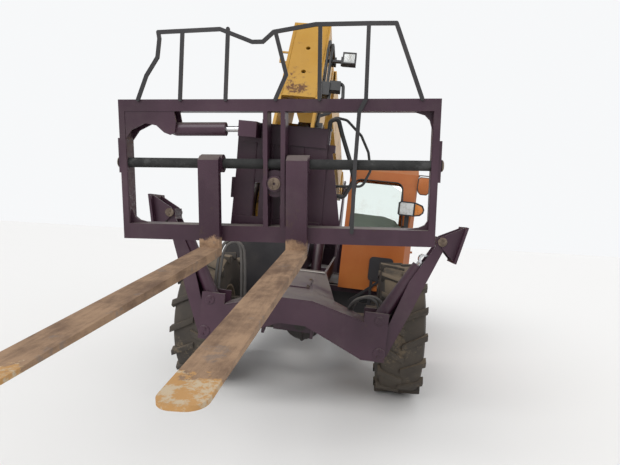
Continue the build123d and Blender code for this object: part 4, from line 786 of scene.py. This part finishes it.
for side, label in ((1, "left"), (-1, "right")):
    width, height = tailLook["size"]
    place = facing(chassisFrame, (side * tailLook["across"], tailLook["rear"], tailLook["up"]), (0, 1, 0))
    housing = plateOf(rectangle(width, height), tailLook["depth"], 0.006)
    finishPiece(housing, "tailLampBody_" + label, "chassis", "black_plastic", place)
    width, height = width * tailLook["share"][0], height * tailLook["share"][1]
    for part, look, low, high in (("Stop", "red_lens", 0.02, 0.97), ("Turn", "amber_lens", -0.97, -0.02)):
        outline = [(x * width / 2, y * height / 2) for x, y in ((low, -1), (high, -1), (high, 1), (low, 1))]
        outline = outline if side < 0 else [(-x, y) for x, y in reversed(outline)]
        lens = plateOf(outline, tailLook["lensDepth"], 0.004, tailLook["depth"] - 0.001)
        finishPiece(lens, f"tail{part}Lens_{label}", "chassis", look, place)
print("lamps glazed")

# Mirror: glass towards the driver, a painted back towards the front
mirrorLook = {"glassFace": 0.8198, "backFace": 0.8022, "backShare": 1.02}
mirrorOutline = [(1.076, 2.133), (1.082, 2.234), (1.099, 2.248), (1.186, 2.248), (1.195, 2.236),
                 (1.195, 2.085), (1.176, 2.065), (1.113, 2.065), (1.088, 2.090)]
finishPiece(plateOf([(-x, z) for x, z in reversed(mirrorOutline)], 0.0015, 0.0005), "mirrorGlass", "chassis",
            "mirror_glass", facing(chassisFrame, (0, mirrorLook["glassFace"], 0), (0, 1, 0)))
mirrorMiddle = Vector((1.1355, 2.157))
backOutline = [mirrorMiddle + (Vector(point) - mirrorMiddle) * mirrorLook["backShare"]
               for point in mirrorOutline]
finishPiece(plateOf(backOutline, 0.004, 0.0015), "mirrorBack", "chassis", "orange_paint",
            facing(chassisFrame, (0, mirrorLook["backFace"], 0), (0, -1, 0)))

# Windows: a pane in each opening, let into the wall round it, and a rubber seal on the front one
glassLook = {"thickness": 0.005, "letIn": 0.008, "seal": 0.007, "foot": 1.48, "ends": (1.50, 2.17),
             "screenCorner": 0.078}
slope = Vector((0, 0.135, 0.80)).normalized()
slopeFrame = facing(chassisFrame, (0, 0.725, glassLook["foot"]), (0, -slope.z, slope.y), slope)


def rounded(outline, radius, steps=5):
    # a closed outline with each corner turned on an arc
    points = []
    count = len(outline)
    for index in range(count):
        corner = Vector(outline[index])
        before = (Vector(outline[index - 1]) - corner).normalized()
        after = (Vector(outline[(index + 1) % count]) - corner).normalized()
        half = before.angle(after) / 2
        reach = radius / math.tan(half)
        middle = corner + (before + after).normalized() * (radius / math.sin(half))
        start, end = corner + before * reach - middle, corner + after * reach - middle
        sweep = start.angle_signed(end)
        for step in range(steps + 1):
            angle = -sweep * step / steps
            points.append((middle.x + start.x * math.cos(angle) - start.y * math.sin(angle),
                           middle.y + start.x * math.sin(angle) + start.y * math.cos(angle)))
    return points


def grown(outline, by):
    middle = sum((Vector(point) for point in outline), Vector((0, 0))) / len(outline)
    out = []
    for point in outline:
        away = Vector(point) - middle
        out.append(tuple(middle + away * (1 + by / away.length)))
    return out


low, high = [(up - glassLook["foot"]) / slope.z for up in glassLook["ends"]]
screenOutline = [(0.345, low), (0.952, low), (0.908, high), (0.352, high)]
panes = [
    # name, body, outline, frame that holds it on X and Y, distance in from that frame, corner radius
    ("windscreen", "chassis", screenOutline, slopeFrame, 0.018, glassLook["screenCorner"]),
    ("rightPane", "chassis", [(-2.11, 1.48), (-0.90, 1.48), (-1.00, 2.22), (-2.06, 2.22)],
     facing(chassisFrame, (0.290, 0, 0), (-1, 0, 0)), 0.018, 0),
    ("leftRearPane", "chassis", [(1.72, 1.48), (2.11, 1.48), (2.06, 2.22), (1.72, 2.22)],
     facing(chassisFrame, (1.080, 0, 0), (1, 0, 0)), 0.018, 0),
    ("rearPane", "chassis", [(-1.01, 1.47), (-0.36, 1.47), (-0.36, 2.23), (-1.01, 2.23)],
     facing(chassisFrame, (0, 2.180, 0), (0, 1, 0)), 0.022, 0.060),
    ("doorPane", "cab_door", [(0.92, 1.42), (1.58, 1.42), (1.58, 2.19), (1.00, 2.19), (0.92, 1.51)],
     facing(chassisFrame, (1.080, 0, 0), (1, 0, 0)), 0.018, 0),
]
for name, body, outline, place, inward, radius in panes:
    shape = rounded(outline, radius) if radius else outline
    pane = plateOf(grown(shape, glassLook["letIn"]), glassLook["thickness"], 0)
    finishPiece(pane, name, body, "pane", place @ Matrix.Translation((0, 0, -inward)), 0)
sealLine = rounded(screenOutline, glassLook["screenCorner"])
sealLine = [(x, y, 0.001) for x, y in sealLine + sealLine[:3]]
finishPiece(pipeAlong(sealLine, glassLook["seal"], 2), "windscreenSeal", "chassis", "black_plastic",
            slopeFrame)
print("cab glazed")

# Seat: a folded steel stand under two stuffed cushions, swollen by a cloth simulation
seatLook = {"voxel": 0.006, "pressure": 4.0, "cap": 0.016, "frames": 20, "corner": 0.035, "pullAcross": 0.035,
            "pullAlong": 0.025, "piping": 0.005, "pipingCorner": 0.05, "pipingHeight": 0.30,
            "channel": 0.009, "channelWidth": 0.012, "channelFade": 0.04}


def stuffed(name, size, place, channels):
    piece = blockOf(size)
    softenEdges(piece, seatLook["corner"], 4)
    applyModifier(piece, "REMESH", mode="VOXEL", voxel_size=seatLook["voxel"])
    # the sides pull in between the corners
    for vertex in piece.data.vertices:
        across, along = vertex.co.x / size[0] * 2, vertex.co.y / size[1] * 2
        vertex.co.x *= 1 - seatLook["pullAcross"] * (1 - along * along)
        vertex.co.y *= 1 - seatLook["pullAlong"] * (1 - across * across)
    before = [vertex.co.copy() for vertex in piece.data.vertices]
    bpy.context.view_layer.objects.active = piece
    cloth = piece.modifiers.new("cloth", "CLOTH")
    cloth.settings.use_pressure = True
    cloth.settings.uniform_pressure_force = seatLook["pressure"]
    cloth.settings.effector_weights.gravity = 0
    cloth.point_cache.frame_start = 1
    cloth.point_cache.frame_end = seatLook["frames"]
    for step in range(1, seatLook["frames"] + 1):
        bpy.context.scene.frame_set(step)
    bpy.ops.object.modifier_apply(modifier="cloth")
    bpy.context.scene.frame_set(1)
    for vertex, start in zip(piece.data.vertices, before):
        moved = vertex.co - start
        if moved.length > seatLook["cap"]:
            vertex.co = start + moved.normalized() * seatLook["cap"]
        if vertex.co.z > 0:
            # sewn channels across the upper face
            edge = min(1.0, max(0.0, (size[0] / 2 - abs(vertex.co.x)) / seatLook["channelFade"]))
            for channel in channels:
                depth = math.exp(-((vertex.co.y - channel) / seatLook["channelWidth"]) ** 2)
                vertex.co.z -= seatLook["channel"] * depth * edge
    piping = rounded(rectangle(size[0], size[1]), seatLook["pipingCorner"])
    height = size[2] * seatLook["pipingHeight"]
    cord = pipeAlong([(x, y, height) for x, y in piping + piping[:3]], seatLook["piping"], 2)
    finishPiece(cord, name + "Piping", "chassis", "seat_cover", place, 60)
    finishPiece(piece, name, "chassis", "seat_cover", place, 60)
    return piece


cushions = [
    # name, size, middle in the chassis, way its upper face looks, sewn channels along its depth
    ("seatCushion", (0.425, 0.560, 0.088), (0.685, 1.735, 1.310), (0, -0.03, 1), (-0.15, 0.0, 0.15)),
    ("seatBack", (0.420, 0.420, 0.078), (0.685, 1.968, 1.535), (0, -1, 0.09), (-0.11, 0.0, 0.11)),
]
pads = [stuffed(name, size, facing(chassisFrame, spot, out, (0, 1, 0.2)), channels)
        for name, size, spot, out, channels in cushions]
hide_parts("seat")
standLook = {"size": (0.350, 0.370, 0.300), "middle": (0.685, 1.700, 1.093), "border": 0.035,
             "pressed": 0.006, "rail": (0.022, 0.410, 0.020), "railAcross": 0.13, "railLift": 0.008}
stand = blockOf(standLook["size"])
editAll(stand)
bpy.ops.mesh.inset(thickness=standLook["border"], depth=-standLook["pressed"], use_individual=True)
leaveEdit()
softenEdges(stand, 0.004)
rails = []
for side in (-1, 1):
    rail = blockOf(standLook["rail"], (side * standLook["railAcross"], 0,
                                       standLook["size"][2] / 2 + standLook["railLift"]))
    softenEdges(rail, 0.003)
    rails.append(rail)
finishPiece(joinAll([stand, *rails]), "seatStand", "chassis", "black_paint",
            chassisFrame @ Matrix.Translation(standLook["middle"]))
print("seat made")

# Controls: the steering column's sleeve and horn button, and a lever in a rubber boot
wheelPlace = facing(chassisFrame, (0.685, 1.110, 1.650), (0, 0.55, 0.83), (0, 1, 0))
sleeve = turnedRing([(-0.175, 0.0), (-0.175, 0.040), (-0.060, 0.034), (-0.050, 0.030), (-0.026, 0.030),
                     (-0.026, 0.0)], 32)
button = turnedRing([(0.010, 0.0), (0.010, 0.030), (0.016, 0.029), (0.021, 0.020), (0.022, 0.0)], 32)
toColumn = Matrix.Rotation(-math.pi / 2, 4, "Y")
finishPiece(joinAll([sleeve, button]), "columnSleeve", "chassis", "black_plastic", wheelPlace @ toColumn)
lever = turnedRing([(0.0, 0.0), (0.0, 0.046), (0.012, 0.044), (0.016, 0.034), (0.026, 0.036), (0.034, 0.026),
                    (0.044, 0.028), (0.054, 0.014), (0.150, 0.008), (0.158, 0.020), (0.185, 0.026),
                    (0.205, 0.024), (0.218, 0.014), (0.222, 0.0)], 28)
finishPiece(lever, "controlLever", "chassis", "black_plastic",
            facing(chassisFrame, (0.475, 1.300, 0.945), (0, -0.06, 1), (0, 1, 0)) @ toColumn)
print("controls made")

# Engine top: rocker cover, air filter with its hose, and the exhaust manifold's pipes
coverLook = {"size": (0.170, 0.620, 0.048), "middle": (-0.650, 1.430, 1.262)}
rocker = blockOf(coverLook["size"])
softenEdges(rocker, 0.014, 3)
rockerBolts = boltsAt([Matrix.Translation((x, y, coverLook["size"][2] / 2 - 0.001))
                       for x in (-0.055, 0.055) for y in (-0.25, -0.08, 0.08, 0.25)], 0.018)
finishPiece(joinAll([rocker, rockerBolts]), "rockerCover", "chassis", "axle_iron",
            chassisFrame @ Matrix.Translation(coverLook["middle"]))
filterBody = turnedRing([(-0.190, 0.0), (-0.190, 0.034), (-0.180, 0.042), (0.110, 0.042), (0.112, 0.046),
                         (0.122, 0.046), (0.124, 0.042), (0.185, 0.038), (0.190, 0.0)], 40)
finishPiece(filterBody, "airFilter", "chassis", "black_paint",
            chassisFrame @ Matrix.Translation((-0.825, 1.480, 1.287)) @ Matrix.Rotation(math.pi / 2, 4, "Z"))
intake = pipeAlong([(-0.825, 1.300, 1.287), (-0.825, 1.210, 1.287), (-0.770, 1.140, 1.285),
                    (-0.690, 1.120, 1.275), (-0.650, 1.140, 1.262)], 0.024)
finishPiece(intake, "intakeHose", "chassis", "black_plastic", chassisFrame, 50)
runs = []
for y in (1.16, 1.30, 1.44, 1.58):
    runs.append(pipeAlong([(-0.560, y, 1.235), (-0.520, y, 1.270), (-0.480, y + 0.03, 1.275),
                           (-0.455, 1.62, 1.275)], 0.020))
runs.append(pipeAlong([(-0.455, 1.14, 1.275), (-0.455, 1.50, 1.275), (-0.455, 1.80, 1.272),
                       (-0.475, 1.86, 1.225)], 0.028))
finishPiece(joinAll(runs), "exhaustManifold", "chassis", "nut_steel", chassisFrame, 50)
print("engine dressed")

# Floor and light
floorLook = {"size": 60.0, "colour": (0.80, 0.79, 0.77, 1)}
bpy.ops.object.select_all(action="DESELECT")
bpy.ops.mesh.primitive_plane_add(size=floorLook["size"], location=(0, 0, 0))
floor = bpy.context.object
floor.name = "floor"
floorMaterial, floorTree, floorShader = newMaterial("paleFloor")
putIn(floorTree, floorShader, {"Base Color": floorLook["colour"], "Roughness": 0.9})
floor.data.materials.append(floorMaterial)

worldLook = {"light": (0.53, 0.54, 0.56, 1), "seen": (0.93, 0.94, 0.95, 1)}
world = bpy.data.worlds.new("studio")
world.use_nodes = True
bpy.context.scene.world = world
worldTree = world.node_tree
path = addNode(worldTree, "LightPath")
seen = maths(worldTree, "MAXIMUM", path.outputs["Is Camera Ray"], path.outputs["Is Transmission Ray"])
putIn(worldTree, worldTree.nodes["Background"],
      {"Color": mixColour(worldTree, seen, worldLook["light"], worldLook["seen"])})

lamps = {
    # spread in degrees, power, place from the axle's middle, point it faces
    "keyLight": (42, 2.00, (-4.5, -7.0, 8.5), (0, 0, 1.2)),
    "fillLight": (60, 0.70, (6.0, -6.0, 6.0), (0, 0, 1.2)),
    "backLight": (60, 0.60, (3.0, 8.0, 6.0), (0, 0, 1.2)),
}
for name, (spread, power, place, target) in lamps.items():
    data = bpy.data.lights.new(name, "SUN")
    data.angle = math.radians(spread)
    data.energy = power
    lamp = bpy.data.objects.new(name, data)
    lamp.location = origin + Vector(place)
    lamp.rotation_mode = "QUATERNION"
    lamp.rotation_quaternion = (Vector(target) - Vector(place)).to_track_quat("-Z", "Y")
    bpy.context.scene.collection.objects.link(lamp)

# Camera, as the photograph was taken
cameraLook = {"place": (0.504, -4.862, 1.691), "yaw": 5.69, "pitch": 2.01, "roll": 3.13, "lens": 28.107}
cameraData = bpy.data.cameras.new("camera")
cameraData.lens = cameraLook["lens"]
cameraData.sensor_width = 36.0
camera = bpy.data.objects.new("camera", cameraData)
turn = (Matrix.Rotation(math.radians(cameraLook["yaw"]), 4, "Z")
        @ Matrix.Rotation(math.radians(90 - cameraLook["pitch"]), 4, "X")
        @ Matrix.Rotation(math.radians(cameraLook["roll"]), 4, "Z"))
camera.matrix_world = Matrix.Translation(origin + Vector(cameraLook["place"])) @ turn
bpy.context.scene.collection.objects.link(camera)
bpy.context.scene.camera = camera
bpy.context.scene.view_settings.view_transform = "Standard"
print("camera and light ready")

dropPiece(bolt)
